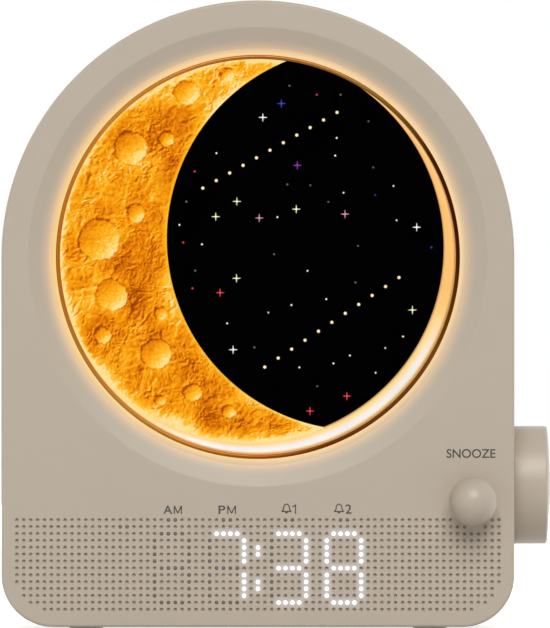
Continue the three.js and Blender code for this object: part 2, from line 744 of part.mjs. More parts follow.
function speakerRib() {
  const inner = SPEAKER_RADIUS + FIT;
  const outer = inner + SPEAKER_RIB;
  const profile = [
    [inner, BACK_WALL_FRONT - SPEAKER_RIB_HEIGHT],
    [outer, BACK_WALL_FRONT - SPEAKER_RIB_HEIGHT],
    [outer, BACK_WALL_FRONT + WALL / 2],
    [inner, BACK_WALL_FRONT + WALL / 2],
    [inner, BACK_WALL_FRONT - SPEAKER_RIB_HEIGHT],
  ];
  return turned(profile, 0, SPEAKER_Z, SPEAKER_SIDES);
}

function doorOutline(clearance) {
  const spanX = around(CELL_X, DOOR_WIDTH + 2 * clearance);
  const spanZ = [CELL_Z - DOOR_BELOW_CELL - clearance, CELL_Z + DOOR_ABOVE_CELL + clearance];
  return roundedRectangle(spanX, spanZ, DOOR_CORNER + clearance);
}

function doorScrewPlace() {
  const low = CELL_Z - DOOR_BELOW_CELL;
  const openingLow = CELL_Z - DOOR_ABOVE_CELL + DOOR_LEDGE;
  return [CELL_X, (low + openingLow) / 2];
}

function doorCuts() {
  const recess = slab(doorOutline(FIT), HOUSING_DEPTH - DOOR_THICKNESS - FIT, HOUSING_DEPTH + OVERCUT);
  const openingX = around(CELL_X, DOOR_WIDTH - 2 * DOOR_LEDGE);
  const openingZ = around(CELL_Z, 2 * (DOOR_ABOVE_CELL - DOOR_LEDGE));
  const outline = roundedRectangle(openingX, openingZ, DOOR_CORNER);
  return recess.add(slab(outline, BACK_WALL_FRONT - OVERCUT, HOUSING_DEPTH));
}

function usbHole() {
  const spanX = around(USB_X, USB_WIDTH + 2 * FIT);
  const spanZ = around(USB_Z, USB_HEIGHT + 2 * FIT);
  const outline = roundedRectangle(spanX, spanZ, USB_CORNER + FIT);
  return slab(outline, BACK_WALL_FRONT - OVERCUT, HOUSING_DEPTH + OVERCUT);
}

// Screw wells: tubes from the back wall to the seam, wide for the head and narrow for the shank
function screwWell([x, z]) {
  return rod(CASE_SCREW.head + FIT + WELL_WALL, REAR_FRONT, HOUSING_DEPTH - WALL / 2, x, z);
}

function wellBore([x, z]) {
  const wide = rod(CASE_SCREW.head + FIT, WELL_SEAT_Y - FIT, HOUSING_DEPTH + OVERCUT, x, z);
  const narrow = screwHole(CASE_SCREW, REAR_FRONT - OVERCUT, HOUSING_DEPTH, x, z);
  return wide.add(narrow);
}

function dialHole() {
  const profile = [
    [0, WALL_INNER_X - OVERCUT],
    [BUSH_RADIUS + FIT, WALL_INNER_X - OVERCUT],
    [BUSH_RADIUS + FIT, WALL_OUTER_X + OVERCUT],
    [0, WALL_OUTER_X + OVERCUT],
  ];
  return turnedOnDial(profile, ROUND_SIDES);
}

function rearHousing() {
  const outer = slab(housingOutline(0), REAR_FRONT - BACK_EDGE_ROUND, HOUSING_DEPTH, BACK_EDGE_ROUND);
  const before = depthSlice(-HOUSING_DEPTH, REAR_FRONT);
  const cavity = slab(housingOutline(WALL), REAR_FRONT - OVERCUT, BACK_WALL_FRONT);
  const standoffFront = MAIN_BOARD_BACK + FIT;
  const standoffBack = HOUSING_DEPTH - WALL / 2;
  const places = mainBoardBossPlaces();
  const standoffs = places.map(([x, z]) => rod(BOARD_BOSS_RADIUS, standoffFront, standoffBack, x, z));
  const [doorX, doorZ] = doorScrewPlace();
  const doorBossFront = HOUSING_DEPTH - SMALL_SCREW.length - DOOR_THICKNESS;
  const doorBoss = rod(BOARD_BOSS_RADIUS, doorBossFront, HOUSING_DEPTH - DOOR_THICKNESS - FIT, doorX, doorZ);
  const pilotBack = MAIN_BOARD_FRONT + SMALL_SCREW.length;
  const pilots = places.map(([x, z]) => screwHole(SMALL_SCREW, MAIN_BOARD_BACK, pilotBack, x, z));
  const doorPilot = screwHole(SMALL_SCREW, doorBossFront - OVERCUT, HOUSING_DEPTH, doorX, doorZ);
  const wells = caseBossPlaces().map(screwWell);
  const shell = outer.subtract(before).subtract(cavity);
  const fitted = wasm.Manifold.union([shell, seamLip(), speakerRib(), doorBoss, ...standoffs, ...wells]);
  const bores = caseBossPlaces().map(wellBore);
  const openings = [speakerSlots(), doorCuts(), usbHole(), dialHole(), dialGroove(), footRecesses()];
  const cuts = wasm.Manifold.union([...openings, ...bores, ...pilots, doorPilot]);
  addPart("rear_housing", fitted.subtract(cuts), SAND_PLASTIC);
}

function lensBezel() {
  const lipInner = BEZEL_RADIUS - BEZEL_LIP_WIDTH;
  const wallInner = BEZEL_RADIUS - BEZEL_WALL;
  const lipBack = BEZEL_SETBACK + BEZEL_LIP_THICKNESS;
  const profile = [
    [lipInner, BEZEL_SETBACK],
    [BEZEL_RADIUS, BEZEL_SETBACK],
    [BEZEL_RADIUS, LAMP_TUBE_BACK],
    [wallInner, LAMP_TUBE_BACK],
    [wallInner, lipBack],
    [lipInner, lipBack],
    [lipInner, BEZEL_SETBACK],
  ];
  addPart("lens_bezel", turned(profile, 0, LAMP_Z, LAMP_SIDES), BRONZE);
}

function haloGuide() {
  const back = HALO_BOARD_FRONT - HALO_LED_HEIGHT - FIT;
  addPart("halo_guide", ring(HALO_INNER, HALO_OUTER, DISH_DEPTH - HALO_REACH, back), OPAL_WHITE);
}

function lampDisc(radius, front, back, x = 0, z = 0) {
  return rod(radius, front, back, x, LAMP_Z + z, LAMP_SIDES);
}

function pictureDisc(clearance) {
  const front = PICTURE_FRONT - OVERCUT;
  const back = PICTURE_FRONT + PICTURE_THICKNESS + OVERCUT;
  return lampDisc(PICTURE_RADIUS + clearance, front, back, PICTURE_SHIFT_X, PICTURE_SHIFT_Z);
}

function skyDisc(clearance) {
  const front = PICTURE_FRONT - OVERCUT;
  const back = PICTURE_FRONT + PICTURE_THICKNESS + OVERCUT;
  return lampDisc(SKY_RADIUS + clearance, front, back, SKY_SHIFT_X, SKY_SHIFT_Z);
}

// A crater is a shallow turned bowl in the front of the moon panel
function crater([degrees, share, radiusShare]) {
  const radius = PICTURE_RADIUS * radiusShare;
  const angle = THREE.MathUtils.degToRad(degrees);
  const alongX = Math.cos(angle);
  const alongZ = Math.sin(angle);
  const toSkyX = SKY_SHIFT_X - PICTURE_SHIFT_X;
  const toSkyZ = SKY_SHIFT_Z - PICTURE_SHIFT_Z;
  const along = alongX * toSkyX + alongZ * toSkyZ;
  const aside = toSkyX ** 2 + toSkyZ ** 2 - along ** 2;
  const skyEdge = along + Math.sqrt(Math.max(SKY_RADIUS ** 2 - aside, 0));
  const distance = PICTURE_RADIUS + (skyEdge - PICTURE_RADIUS) * share;
  const profile = [
    [0, PICTURE_FRONT - OVERCUT],
    [radius, PICTURE_FRONT - OVERCUT],
    [radius, PICTURE_FRONT],
    [radius * CRATER_FLOOR, PICTURE_FRONT + CRATER_SINK],
    [0, PICTURE_FRONT + CRATER_SINK],
  ];
  const x = PICTURE_SHIFT_X + distance * alongX;
  const z = LAMP_Z + PICTURE_SHIFT_Z + distance * alongZ;
  return turned(profile, x, z, CRATER_SIDES);
}

function picture() {
  const stack = lampDisc(STACK_RADIUS, PICTURE_FRONT, PICTURE_FRONT + PICTURE_THICKNESS);
  const printed = stack.intersect(pictureDisc(-FIT / 2));
  const moon = printed.subtract(skyDisc(FIT / 2));
  const craters = wasm.Manifold.union(CRATERS.map(crater));
  addPart("moon_panel", moon.subtract(craters), MOON_AMBER);
  addPart("sky_panel", printed.intersect(skyDisc(-FIT / 2)), SKY_BLACK);
  addPart("rim_reflector", stack.subtract(pictureDisc(FIT / 2)), AMBER_LIGHT);
}

function lensAndDiffuser() {
  addPart("lens_cover", lampDisc(STACK_RADIUS, LENS_FRONT, LENS_FRONT + LENS_THICKNESS), CLEAR);
  const diffuser = lampDisc(STACK_RADIUS, DIFFUSER_FRONT, DIFFUSER_FRONT + DIFFUSER_THICKNESS);
  addPart("lamp_diffuser", diffuser, OPAL_WHITE);
}

function haloBoard() {
  const back = HALO_BOARD_FRONT + HALO_BOARD_THICKNESS;
  const board = ring(STACK_RADIUS + FIT, HALO_BOARD_RADIUS, HALO_BOARD_FRONT, back);
  const leds = [];
  for (let led = 0; led < HALO_LED_COUNT; led += 1) {
    const [x, z] = onLampCircle((HALO_INNER + HALO_OUTER) / 2, ((led + 0.5) * 360) / HALO_LED_COUNT);
    const front = HALO_BOARD_FRONT - HALO_LED_HEIGHT;
    leds.push(rod(HALO_WALL / 2, front, HALO_BOARD_FRONT + HALO_BOARD_THICKNESS / 2, x, z, LED_HOLE_SIDES));
  }
  addPart("halo_board", wasm.Manifold.union([board, ...leds]), BOARD_GREEN);
}

function lampConnectorSpan() {
  const centreZ = LAMP_Z - LAMP_CONNECTOR_DROP;
  const spanX = around(LAMP_RIBBON_X, CONNECTOR_WIDTH);
  return { spanX, spanZ: around(centreZ, CONNECTOR_DEPTH), centreZ };
}

function lampCup() {
  const flangeBack = FLANGE_FRONT + CUP_FLANGE;
  const profile = [
    [0, CUP_BACK - CUP_WALL],
    [CUP_INNER, CUP_BACK - CUP_WALL],
    [CUP_INNER, CUP_FRONT],
    [STACK_RADIUS, CUP_FRONT],
    [STACK_RADIUS, FLANGE_FRONT],
    [TUBE_RADIUS, FLANGE_FRONT],
    [TUBE_RADIUS, flangeBack],
    [STACK_RADIUS, flangeBack],
    [STACK_RADIUS, CUP_BACK],
    [0, CUP_BACK],
  ];
  const cup = turned(profile, 0, LAMP_Z, LAMP_SIDES);
  const lugs = lampBossPlaces().map(([x, z]) => rod(LAMP_BOSS_RADIUS, FLANGE_FRONT, flangeBack, x, z));
  const holes = lampBossPlaces().map(([x, z]) => pilotHole(SMALL_SCREW, flangeBack, x, z));
  const { spanX, spanZ } = lampConnectorSpan();
  const slotX = [spanX[0] - FIT, spanX[1] + FIT];
  const slotZ = [spanZ[0] - FIT, spanZ[1] + FIT];
  const slot = block(slotX, [CUP_BACK - CUP_WALL - OVERCUT, CUP_BACK + OVERCUT], slotZ);
  const body = wasm.Manifold.union([cup, ...lugs]).subtract(wasm.Manifold.union([slot, ...holes]));
  addPart("lamp_cup", body, OPAL_WHITE);
  lampBossPlaces().forEach(([x, z], count) => {
    addPart(`lamp_screw_${count + 1}`, screw(SMALL_SCREW, flangeBack + FIT, 1, x, z), STEEL);
  });
}

function lampBoard() {
  const front = LAMP_BOARD_BACK - BOARD_THICKNESS;
  const board = lampDisc(CUP_INNER - FIT, front, LAMP_BOARD_BACK);
  const leds = [];
  for (const [share, count] of LAMP_LED_RINGS) {
    for (let led = 0; led < count; led += 1) {
      const [x, z] = onLampCircle(CUP_INNER * share, (led * 360) / count);
      const depth = [front - LAMP_LED_HEIGHT, front + BOARD_THICKNESS / 2];
      leds.push(block(around(x, LAMP_LED_SIZE), depth, around(z, LAMP_LED_SIZE)));
    }
  }
  const { spanX, spanZ } = lampConnectorSpan();
  const connector = block(spanX, [front + BOARD_THICKNESS / 2, CUP_BACK + FIT], spanZ);
  addPart("lamp_board", wasm.Manifold.union([board, connector, ...leds]), BOARD_GREEN);
}

function displayStack() {
  const film = displayField(MASK_MARGIN);
  const filmBlock = block(film.spanX, [FILM_FRONT, FILM_FRONT + FILM_THICKNESS], film.spanZ);
  addPart("display_film", filmBlock, BLACK_PLASTIC);
  const maskBack = DISPLAY_BOARD_FRONT - FIT;
  const mask = block(film.spanX, [MASK_FRONT, maskBack], film.spanZ);
  const windows = displayWindows().map(([left, right, top, bottom]) => {
    const spanX = [columnX(left) - MASK_WINDOW_EDGE, columnX(right) + MASK_WINDOW_EDGE];
    const spanZ = [rowZ(bottom) - MASK_WINDOW_EDGE, rowZ(top) + MASK_WINDOW_EDGE];
    return block(spanX, [MASK_FRONT - OVERCUT, maskBack + OVERCUT], spanZ);
  });
  addPart("display_mask", mask.subtract(wasm.Manifold.union(windows)), BLACK_PLASTIC);
}

function displayConnectorSpan() {
  const { low, high } = displayBoardEdges();
  const centreZ = (low + high) / 2;
  const spanX = around(DISPLAY_RIBBON_X, CONNECTOR_WIDTH);
  return { spanX, spanZ: around(centreZ, CONNECTOR_DEPTH), centreZ };
}

function displayBoard() {
  const edges = displayBoardEdges();
  const outline = new THREE.Shape([
    new THREE.Vector2(edges.left, edges.low),
    new THREE.Vector2(edges.right, edges.low),
    new THREE.Vector2(edges.right, edges.armLow),
    new THREE.Vector2(edges.armRight, edges.armLow),
    new THREE.Vector2(edges.armRight, edges.armHigh),
    new THREE.Vector2(edges.armLeft, edges.armHigh),
    new THREE.Vector2(edges.armLeft, edges.high),
    new THREE.Vector2(edges.left, edges.high),
  ]);
  const board = slab(outline, DISPLAY_BOARD_FRONT, DISPLAY_BOARD_BACK);
  const middle = DISPLAY_BOARD_FRONT + BOARD_THICKNESS / 2;
  const leds = barBlocks(LED_BAR_WIDTH, DISPLAY_BOARD_FRONT - LED_BAR_HEIGHT, middle);
  const { spanX, spanZ } = displayConnectorSpan();
  const connector = block(spanX, [middle, DISPLAY_BOARD_BACK + CONNECTOR_HEIGHT], spanZ);
  const places = displayBossPlaces();
  const holes = places.map(([x, z]) => pilotHole(SMALL_SCREW, DISPLAY_BOARD_BACK, x, z));
  const body = wasm.Manifold.union([board, leds, connector]).subtract(wasm.Manifold.union(holes));
  addPart("display_board", body, BOARD_GREEN);
  places.forEach(([x, z], count) => {
    addPart(`display_screw_${count + 1}`, screw(SMALL_SCREW, DISPLAY_BOARD_BACK + FIT, 1, x, z), STEEL);
  });
}

// The ball is turned in one piece with its stem, whose groove holds the clip
function snoozeKnob() {
  const centre = -FIT - BALL_RADIUS;
  const neck = Math.asin(STEM_RADIUS / BALL_RADIUS);
  const grooveRadius = STEM_RADIUS - STEM_GROOVE;
  const profile = [];
  for (let step = 0; step <= BALL_STEPS; step += 1) {
    const angle = ((Math.PI - neck) * step) / BALL_STEPS;
    profile.push([BALL_RADIUS * Math.sin(angle), centre - BALL_RADIUS * Math.cos(angle)]);
  }
  profile[0][0] = 0;
  profile.push(
    [STEM_RADIUS, CLIP_FRONT - FIT / 2],
    [grooveRadius, CLIP_FRONT - FIT / 2],
    [grooveRadius, CLIP_BACK + FIT / 2],
    [STEM_RADIUS, CLIP_BACK + FIT / 2],
    [STEM_RADIUS, STEM_BACK],
    [0, STEM_BACK],
  );
  addPart("snooze_knob", turned(profile, SNOOZE_X, SNOOZE_Z, BALL_SIDES), SAND_PLASTIC);
}

function snoozeClip() {
  const inner = STEM_RADIUS - STEM_GROOVE + FIT;
  const profile = [
    [inner, CLIP_FRONT],
    [CLIP_RADIUS, CLIP_FRONT],
    [CLIP_RADIUS, CLIP_BACK],
    [inner, CLIP_BACK],
    [inner, CLIP_FRONT],
  ];
  const full = turned(profile, SNOOZE_X, SNOOZE_Z, ROUND_SIDES);
  const mouthY = [CLIP_FRONT - OVERCUT, CLIP_BACK + OVERCUT];
  const mouthZ = [SNOOZE_Z - CLIP_RADIUS - OVERCUT, SNOOZE_Z];
  const mouth = block(around(SNOOZE_X, 2 * inner), mouthY, mouthZ);
  addPart("snooze_clip", full.subtract(mouth), STEEL);
}

function snoozeSwitch() {
  const spanX = around(SNOOZE_X, SWITCH_SIZE);
  const body = block(spanX, [SWITCH_FRONT, SWITCH_BACK], around(SNOOZE_Z, SWITCH_SIZE));
  const bore = rod(PLUNGER_RADIUS + FIT, SWITCH_FRONT - OVERCUT, SWITCH_BORE_BACK, SNOOZE_X, SNOOZE_Z);
  addPart("snooze_switch", body.subtract(bore), BLACK_PLASTIC);
  const plunger = rod(PLUNGER_RADIUS, STEM_BACK + FIT, PLUNGER_BACK, SNOOZE_X, SNOOZE_Z);
  addPart("snooze_plunger", plunger, OPAL_WHITE);
}

function encoder() {
  const spanY = around(DIAL_Y, ENCODER_WIDTH);
  const body = block([ENCODER_LEFT, ENCODER_RIGHT], spanY, around(DIAL_Z, ENCODER_HEIGHT));
  const bushProfile = [
    [0, ENCODER_RIGHT - OVERCUT],
    [BUSH_RADIUS, ENCODER_RIGHT - OVERCUT],
    [BUSH_RADIUS, BUSH_RIGHT],
    [0, BUSH_RIGHT],
  ];
  const boreProfile = [
    [0, ENCODER_LEFT + ENCODER_FLOOR],
    [SHAFT_RADIUS + FIT, ENCODER_LEFT + ENCODER_FLOOR],
    [SHAFT_RADIUS + FIT, BUSH_RIGHT + OVERCUT],
    [0, BUSH_RIGHT + OVERCUT],
  ];
  const bush = turnedOnDial(bushProfile, ROUND_SIDES);
  const bore = turnedOnDial(boreProfile, ROUND_SIDES);
  addPart("encoder_body", body.add(bush).subtract(bore), STEEL);
  const nutInner = BUSH_RADIUS + FIT;
  const nutProfile = [
    [0, NUT_LEFT],
    [NUT_RADIUS, NUT_LEFT],
    [NUT_RADIUS, BUSH_RIGHT],
    [0, BUSH_RIGHT],
  ];
  const nutBore = [
    [0, NUT_LEFT - OVERCUT],
    [nutInner, NUT_LEFT - OVERCUT],
    [nutInner, BUSH_RIGHT + OVERCUT],
    [0, BUSH_RIGHT + OVERCUT],
  ];
  const nut = turnedOnDial(nutProfile, NUT_SIDES).subtract(turnedOnDial(nutBore, ROUND_SIDES));
  addPart("encoder_nut", nut, STEEL);
  const boardRight = ENCODER_LEFT - FIT;
  const board = block(
    [boardRight - BOARD_THICKNESS, boardRight],
    around(DIAL_Y, ENCODER_WIDTH + 2 * ENCODER_BOARD_MARGIN),
    around(DIAL_Z, ENCODER_HEIGHT + 2 * ENCODER_BOARD_MARGIN),
  );
  addPart("encoder_board", board, BOARD_GREEN);
}

function dialPieces() {
  const actuator = [
    [0, ACTUATOR_LEFT],
    [SHAFT_RADIUS, ACTUATOR_LEFT],
    [SHAFT_RADIUS, ACTUATOR_LEFT + ACTUATOR_THICKNESS],
    [0, ACTUATOR_LEFT + ACTUATOR_THICKNESS],
  ];
  addPart("encoder_actuator", turnedOnDial(actuator, ROD_SIDES), BLACK_PLASTIC);
  const shaft = [
    [0, SHAFT_LEFT],
    [SHAFT_RADIUS, SHAFT_LEFT],
    [SHAFT_RADIUS, SHAFT_RIGHT],
    [0, SHAFT_RIGHT],
  ];
  addPart("encoder_shaft", turnedOnDial(shaft, ROUND_SIDES), STEEL);
  const hollowOuter = DIAL_RADIUS - DIAL_SKIRT;
  const socket = SHAFT_RADIUS + FIT;
  const edge = DIAL_EDGE_ROUND;
  const knob = [
    [0, SHAFT_RIGHT + FIT],
    [socket, SHAFT_RIGHT + FIT],
    [socket, DIAL_HOLLOW_RIGHT],
    [hollowOuter, DIAL_HOLLOW_RIGHT],
    [hollowOuter, DIAL_LEFT],
    [DIAL_RADIUS - edge / 2, DIAL_LEFT],
    [DIAL_RADIUS, DIAL_LEFT + edge / 2],
  ];
  for (let step = 0; step <= EDGE_STEPS; step += 1) {
    const angle = (Math.PI / 2) * (step / EDGE_STEPS);
    const radius = DIAL_RADIUS - edge + edge * Math.cos(angle);
    knob.push([radius, DIAL_RIGHT - DIAL_CROWN - edge + edge * Math.sin(angle)]);
  }
  // The crown is a parabola, which has fallen by a quarter halfway out
  knob.push([DIAL_RADIUS / 2, DIAL_RIGHT - DIAL_CROWN / 4], [0, DIAL_RIGHT]);
  addPart("dial_knob", turnedOnDial(knob, DIAL_SIDES), SAND_PLASTIC);
}

function mainBoard() {
  const spanX = around(0, MAIN_BOARD_WIDTH);
  const spanZ = [MAIN_BOARD_Z, MAIN_BOARD_Z + MAIN_BOARD_HEIGHT];
  const board = block(spanX, [MAIN_BOARD_FRONT, MAIN_BOARD_BACK], spanZ);
  const middle = MAIN_BOARD_FRONT + BOARD_THICKNESS / 2;
  const front = [MAIN_BOARD_FRONT - CONNECTOR_HEIGHT, middle];
  const displaySpan = displayConnectorSpan();
  const display = block(displaySpan.spanX, front, displaySpan.spanZ);
  const lampZ = MAIN_BOARD_Z + MAIN_BOARD_HEIGHT - CONNECTOR_DEPTH;
  const lamp = block(lampConnectorSpan().spanX, front, around(lampZ, CONNECTOR_DEPTH));
  const places = mainBoardBossPlaces();
  const holeFront = MAIN_BOARD_FRONT - OVERCUT;
  const holeBack = MAIN_BOARD_BACK + OVERCUT;
  const holes = places.map(([x, z]) => screwHole(SMALL_SCREW, holeFront, holeBack, x, z));
  const body = wasm.Manifold.union([board, display, lamp]).subtract(wasm.Manifold.union(holes));
  addPart("main_board", body, BOARD_GREEN);
  places.forEach(([x, z], count) => {
    addPart(`main_board_screw_${count + 1}`, screw(SMALL_SCREW, MAIN_BOARD_FRONT - FIT, -1, x, z), STEEL);
  });
}

// A flat cable from one connector to another, as a smooth S in depth and height
function ribbon(name, x, [startY, startZ], [endY, endZ]) {
  const half = RIBBON_THICKNESS / 2;
  const pull = (endY - startY) / 2;
  const curve = new THREE.CubicBezierCurve(
    new THREE.Vector2(startY, startZ),
    new THREE.Vector2(startY + pull, startZ),
    new THREE.Vector2(endY - pull, endZ),
    new THREE.Vector2(endY, endZ),
  );
  const upper = [];
  const lower = [];
  for (let step = 0; step <= RIBBON_STEPS; step += 1) {
    const point = curve.getPoint(step / RIBBON_STEPS);
    const slope = curve.getTangent(step / RIBBON_STEPS);
    upper.push(new THREE.Vector2(point.x - slope.y * half, point.y + slope.x * half));
    lower.unshift(new THREE.Vector2(point.x + slope.y * half, point.y - slope.x * half));
  }
  const geometry = new THREE.ExtrudeGeometry(new THREE.Shape([...upper, ...lower]), {
    depth: RIBBON_WIDTH,
    bevelEnabled: false,
  });
  geometry.rotateX(Math.PI / 2);
  geometry.rotateZ(Math.PI / 2);
  geometry.translate(x - RIBBON_WIDTH / 2, 0, 0);
  addPart(name, toSolid(geometry), RIBBON_WHITE);
}

function ribbons() {
  const mainFront = MAIN_BOARD_FRONT - CONNECTOR_HEIGHT - FIT;
  const displayZ = displayConnectorSpan().centreZ;
  const displayStart = [DISPLAY_BOARD_BACK + CONNECTOR_HEIGHT + FIT, displayZ];
  ribbon("display_ribbon", DISPLAY_RIBBON_X, displayStart, [mainFront, displayZ]);
  const lampZ = MAIN_BOARD_Z + MAIN_BOARD_HEIGHT - CONNECTOR_DEPTH;
  const lampStart = [CUP_BACK + 2 * FIT, lampConnectorSpan().centreZ];
  ribbon("lamp_ribbon", LAMP_RIBBON_X, lampStart, [mainFront, lampZ]);
}

// Power socket: a rounded shell with a tongue on its floor
function usbSocket() {
  const front = USB_BACK - USB_LENGTH;
  const outline = roundedRectangle(around(USB_X, USB_WIDTH), around(USB_Z, USB_HEIGHT), USB_CORNER);
  const innerX = around(USB_X, USB_WIDTH - 2 * USB_SHELL);
  const innerZ = around(USB_Z, USB_HEIGHT - 2 * USB_SHELL);
  const inner = roundedRectangle(innerX, innerZ, USB_CORNER - USB_SHELL);
  const mouth = slab(inner, USB_BACK - USB_MOUTH, USB_BACK + OVERCUT);
  const shell = slab(outline, front, USB_BACK).subtract(mouth);
  const tongueX = around(USB_X, USB_TONGUE_WIDTH);
  const tongueZ = around(USB_Z, USB_TONGUE_HEIGHT);
  const tongue = block(tongueX, [USB_BACK - USB_MOUTH - OVERCUT, USB_BACK - OVERCUT], tongueZ);
  addPart("usb_socket", shell.add(tongue), STEEL);
}

function backupCell() {
  const holderFront = MAIN_BOARD_BACK + FIT;
  const floor = holderFront + HOLDER_FLOOR;
  const inner = CELL_RADIUS + FIT;
  const outer = inner + HOLDER_WALL;
  const cellFront = floor + FIT;
  const profile = [
    [0, holderFront],
    [outer, holderFront],
    [outer, cellFront + CELL_THICKNESS],
    [inner, cellFront + CELL_THICKNESS],
    [inner, floor],
    [0, floor],
  ];
  const cup = turned(profile, CELL_X, CELL_Z, ROUND_SIDES);
  const thumbZ = [CELL_Z, CELL_Z + 2 * CELL_RADIUS];
  const thumb = block(around(CELL_X, CELL_RADIUS), [floor, HOUSING_DEPTH], thumbZ);
  addPart("coin_cell_holder", cup.subtract(thumb), BLACK_PLASTIC);
  const canEdge = CELL_RADIUS - HOLDER_WALL;
  const cell = [
    [0, cellFront],
    [canEdge, cellFront],
    [CELL_RADIUS, cellFront + CELL_THICKNESS / 4],
    [CELL_RADIUS, cellFront + CELL_THICKNESS],
    [0, cellFront + CELL_THICKNESS],
  ];
  addPart("coin_cell", turned(cell, CELL_X, CELL_Z, ROUND_SIDES), STEEL);
}

// The door's screw is countersunk and lies flush
function batteryDoor() {
  const [x, z] = doorScrewPlace();
  const { head, shank, length } = SMALL_SCREW;
  const seat = HOUSING_DEPTH - DOOR_THICKNESS + FIT;
  const sunkScrew = (clearance) => [
    [0, HOUSING_DEPTH - length],
    [shank + clearance, HOUSING_DEPTH - length],
    [shank + clearance, seat],
    [head + clearance, HOUSING_DEPTH],
    [0, HOUSING_DEPTH],
  ];
  const door = slab(doorOutline(0), HOUSING_DEPTH - DOOR_THICKNESS, HOUSING_DEPTH);
  addPart("battery_door", door.subtract(turned(sunkScrew(FIT), x, z, ROD_SIDES)), SAND_PLASTIC);
  addPart("battery_screw", turned(sunkScrew(0), x, z, ROD_SIDES), STEEL);
}

function speaker() {
  const sides = SPEAKER_SIDES;
  const inner = SPEAKER_RADIUS - GASKET_WIDTH;
  const gasket = [
    [inner, GASKET_FRONT],
    [SPEAKER_RADIUS, GASKET_FRONT],
    [SPEAKER_RADIUS, GASKET_FRONT + GASKET_THICKNESS],
    [inner, GASKET_FRONT + GASKET_THICKNESS],
    [inner, GASKET_FRONT],
  ];
  addPart("speaker_gasket", turned(gasket, 0, SPEAKER_Z, sides), RUBBER);
  const flangeFront = BASKET_BACK - SPEAKER_FLANGE;
  const neck = MAGNET_RADIUS - CONE_WALL;
  const basket = [
    [0, BASKET_FRONT],
    [neck, BASKET_FRONT],
    [inner, flangeFront],
    [SPEAKER_RADIUS, flangeFront],
    [SPEAKER_RADIUS, BASKET_BACK],
    [inner - CONE_WALL, BASKET_BACK],
    [neck - SPEAKER_FLANGE, BASKET_FRONT + SPEAKER_FLANGE],
    [0, BASKET_FRONT + SPEAKER_FLANGE],
  ];
  addPart("speaker_basket", turned(basket, 0, SPEAKER_Z, sides), STEEL);
  const coneBack = BASKET_BACK - FIT;
  const coneFront = BASKET_FRONT + SPEAKER_FLANGE + FIT;
  const rim = inner - CONE_WALL - CONE_ROLL;
  const capRadius = neck / 2;
  const throat = neck - SPEAKER_FLANGE - 2 * FIT;
  const capFront = coneFront + CONE_WALL;
  const cone = [
    [0, coneFront],
    [throat, coneFront],
    [rim, coneBack - CONE_WALL],
    [rim, coneBack],
    [throat, capFront + CONE_WALL],
    [capRadius, capFront],
    [0, capFront + 2 * CONE_WALL],
  ];
  addPart("speaker_cone", turned(cone, 0, SPEAKER_Z, sides), PAPER_CONE);
  const magnetBack = BASKET_FRONT - FIT;
  const magnet = rod(MAGNET_RADIUS, magnetBack - MAGNET_DEPTH, magnetBack, 0, SPEAKER_Z, sides);
  addPart("speaker_magnet", magnet, STEEL);
}

function caseScrews() {
  caseBossPlaces().forEach(([x, z], count) => {
    addPart(`case_screw_${count + 1}`, screw(CASE_SCREW, WELL_SEAT_Y, 1, x, z), STEEL);
  });
}

function feet() {
  footPlaces().forEach(([x, y], count) => {
    const foot = upright(FOOT_RADIUS, -FOOT_PROUD, FOOT_THICKNESS - FOOT_PROUD, x, y);
    addPart(`foot_${count + 1}`, foot, RUBBER);
  });
}

frontHousing();
rearHousing();
lensBezel();
haloGuide();
lensAndDiffuser();
picture();
haloBoard();
lampCup();
lampBoard();
displayStack();
displayBoard();
snoozeKnob();
snoozeClip();
snoozeSwitch();
encoder();
dialPieces();
mainBoard();
ribbons();
usbSocket();
backupCell();
batteryDoor();
speaker();
caseScrews();
feet();

// The origin lies on the ground, below the middle of the whole part's box
const ballFront = -FIT - 2 * BALL_RADIUS;
clock.position.set((WALL_OUTER_X - DIAL_RIGHT) / 2, -(ballFront + HOUSING_DEPTH) / 2, FOOT_PROUD);

export default clock;
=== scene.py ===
import json
import math
from collections import Counter

import bmesh
import bpy
import numpy as np
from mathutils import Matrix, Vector
from mathutils.geometry import delaunay_2d_cdt


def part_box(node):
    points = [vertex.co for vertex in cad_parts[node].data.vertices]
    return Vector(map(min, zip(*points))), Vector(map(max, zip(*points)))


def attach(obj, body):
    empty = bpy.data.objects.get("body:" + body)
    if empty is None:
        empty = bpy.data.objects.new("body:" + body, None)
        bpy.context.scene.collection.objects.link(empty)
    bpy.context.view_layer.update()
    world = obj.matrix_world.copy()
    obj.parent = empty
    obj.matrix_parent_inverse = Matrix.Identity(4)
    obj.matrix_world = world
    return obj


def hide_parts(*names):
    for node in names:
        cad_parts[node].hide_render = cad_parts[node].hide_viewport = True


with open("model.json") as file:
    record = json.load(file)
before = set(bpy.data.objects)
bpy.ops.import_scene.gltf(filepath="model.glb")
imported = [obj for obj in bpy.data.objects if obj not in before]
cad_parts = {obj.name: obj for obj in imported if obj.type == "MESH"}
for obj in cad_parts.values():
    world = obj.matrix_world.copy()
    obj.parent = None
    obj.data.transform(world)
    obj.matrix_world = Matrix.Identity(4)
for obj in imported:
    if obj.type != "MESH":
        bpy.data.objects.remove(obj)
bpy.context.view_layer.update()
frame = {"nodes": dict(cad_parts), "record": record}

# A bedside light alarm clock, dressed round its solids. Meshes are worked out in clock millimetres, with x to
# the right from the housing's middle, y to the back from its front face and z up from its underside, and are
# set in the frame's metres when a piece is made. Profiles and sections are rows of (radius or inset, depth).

MM = 0.001
front_low, front_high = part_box("front_housing")
ORIGIN = np.array(((front_low.x + front_high.x) / 2, front_low.y, front_low.z))


def clock_box(node):
    low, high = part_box(node)
    return (np.array(low) - ORIGIN) / MM, (np.array(high) - ORIGIN) / MM


def clock_middle(node):
    return sum(clock_box(node)) / 2


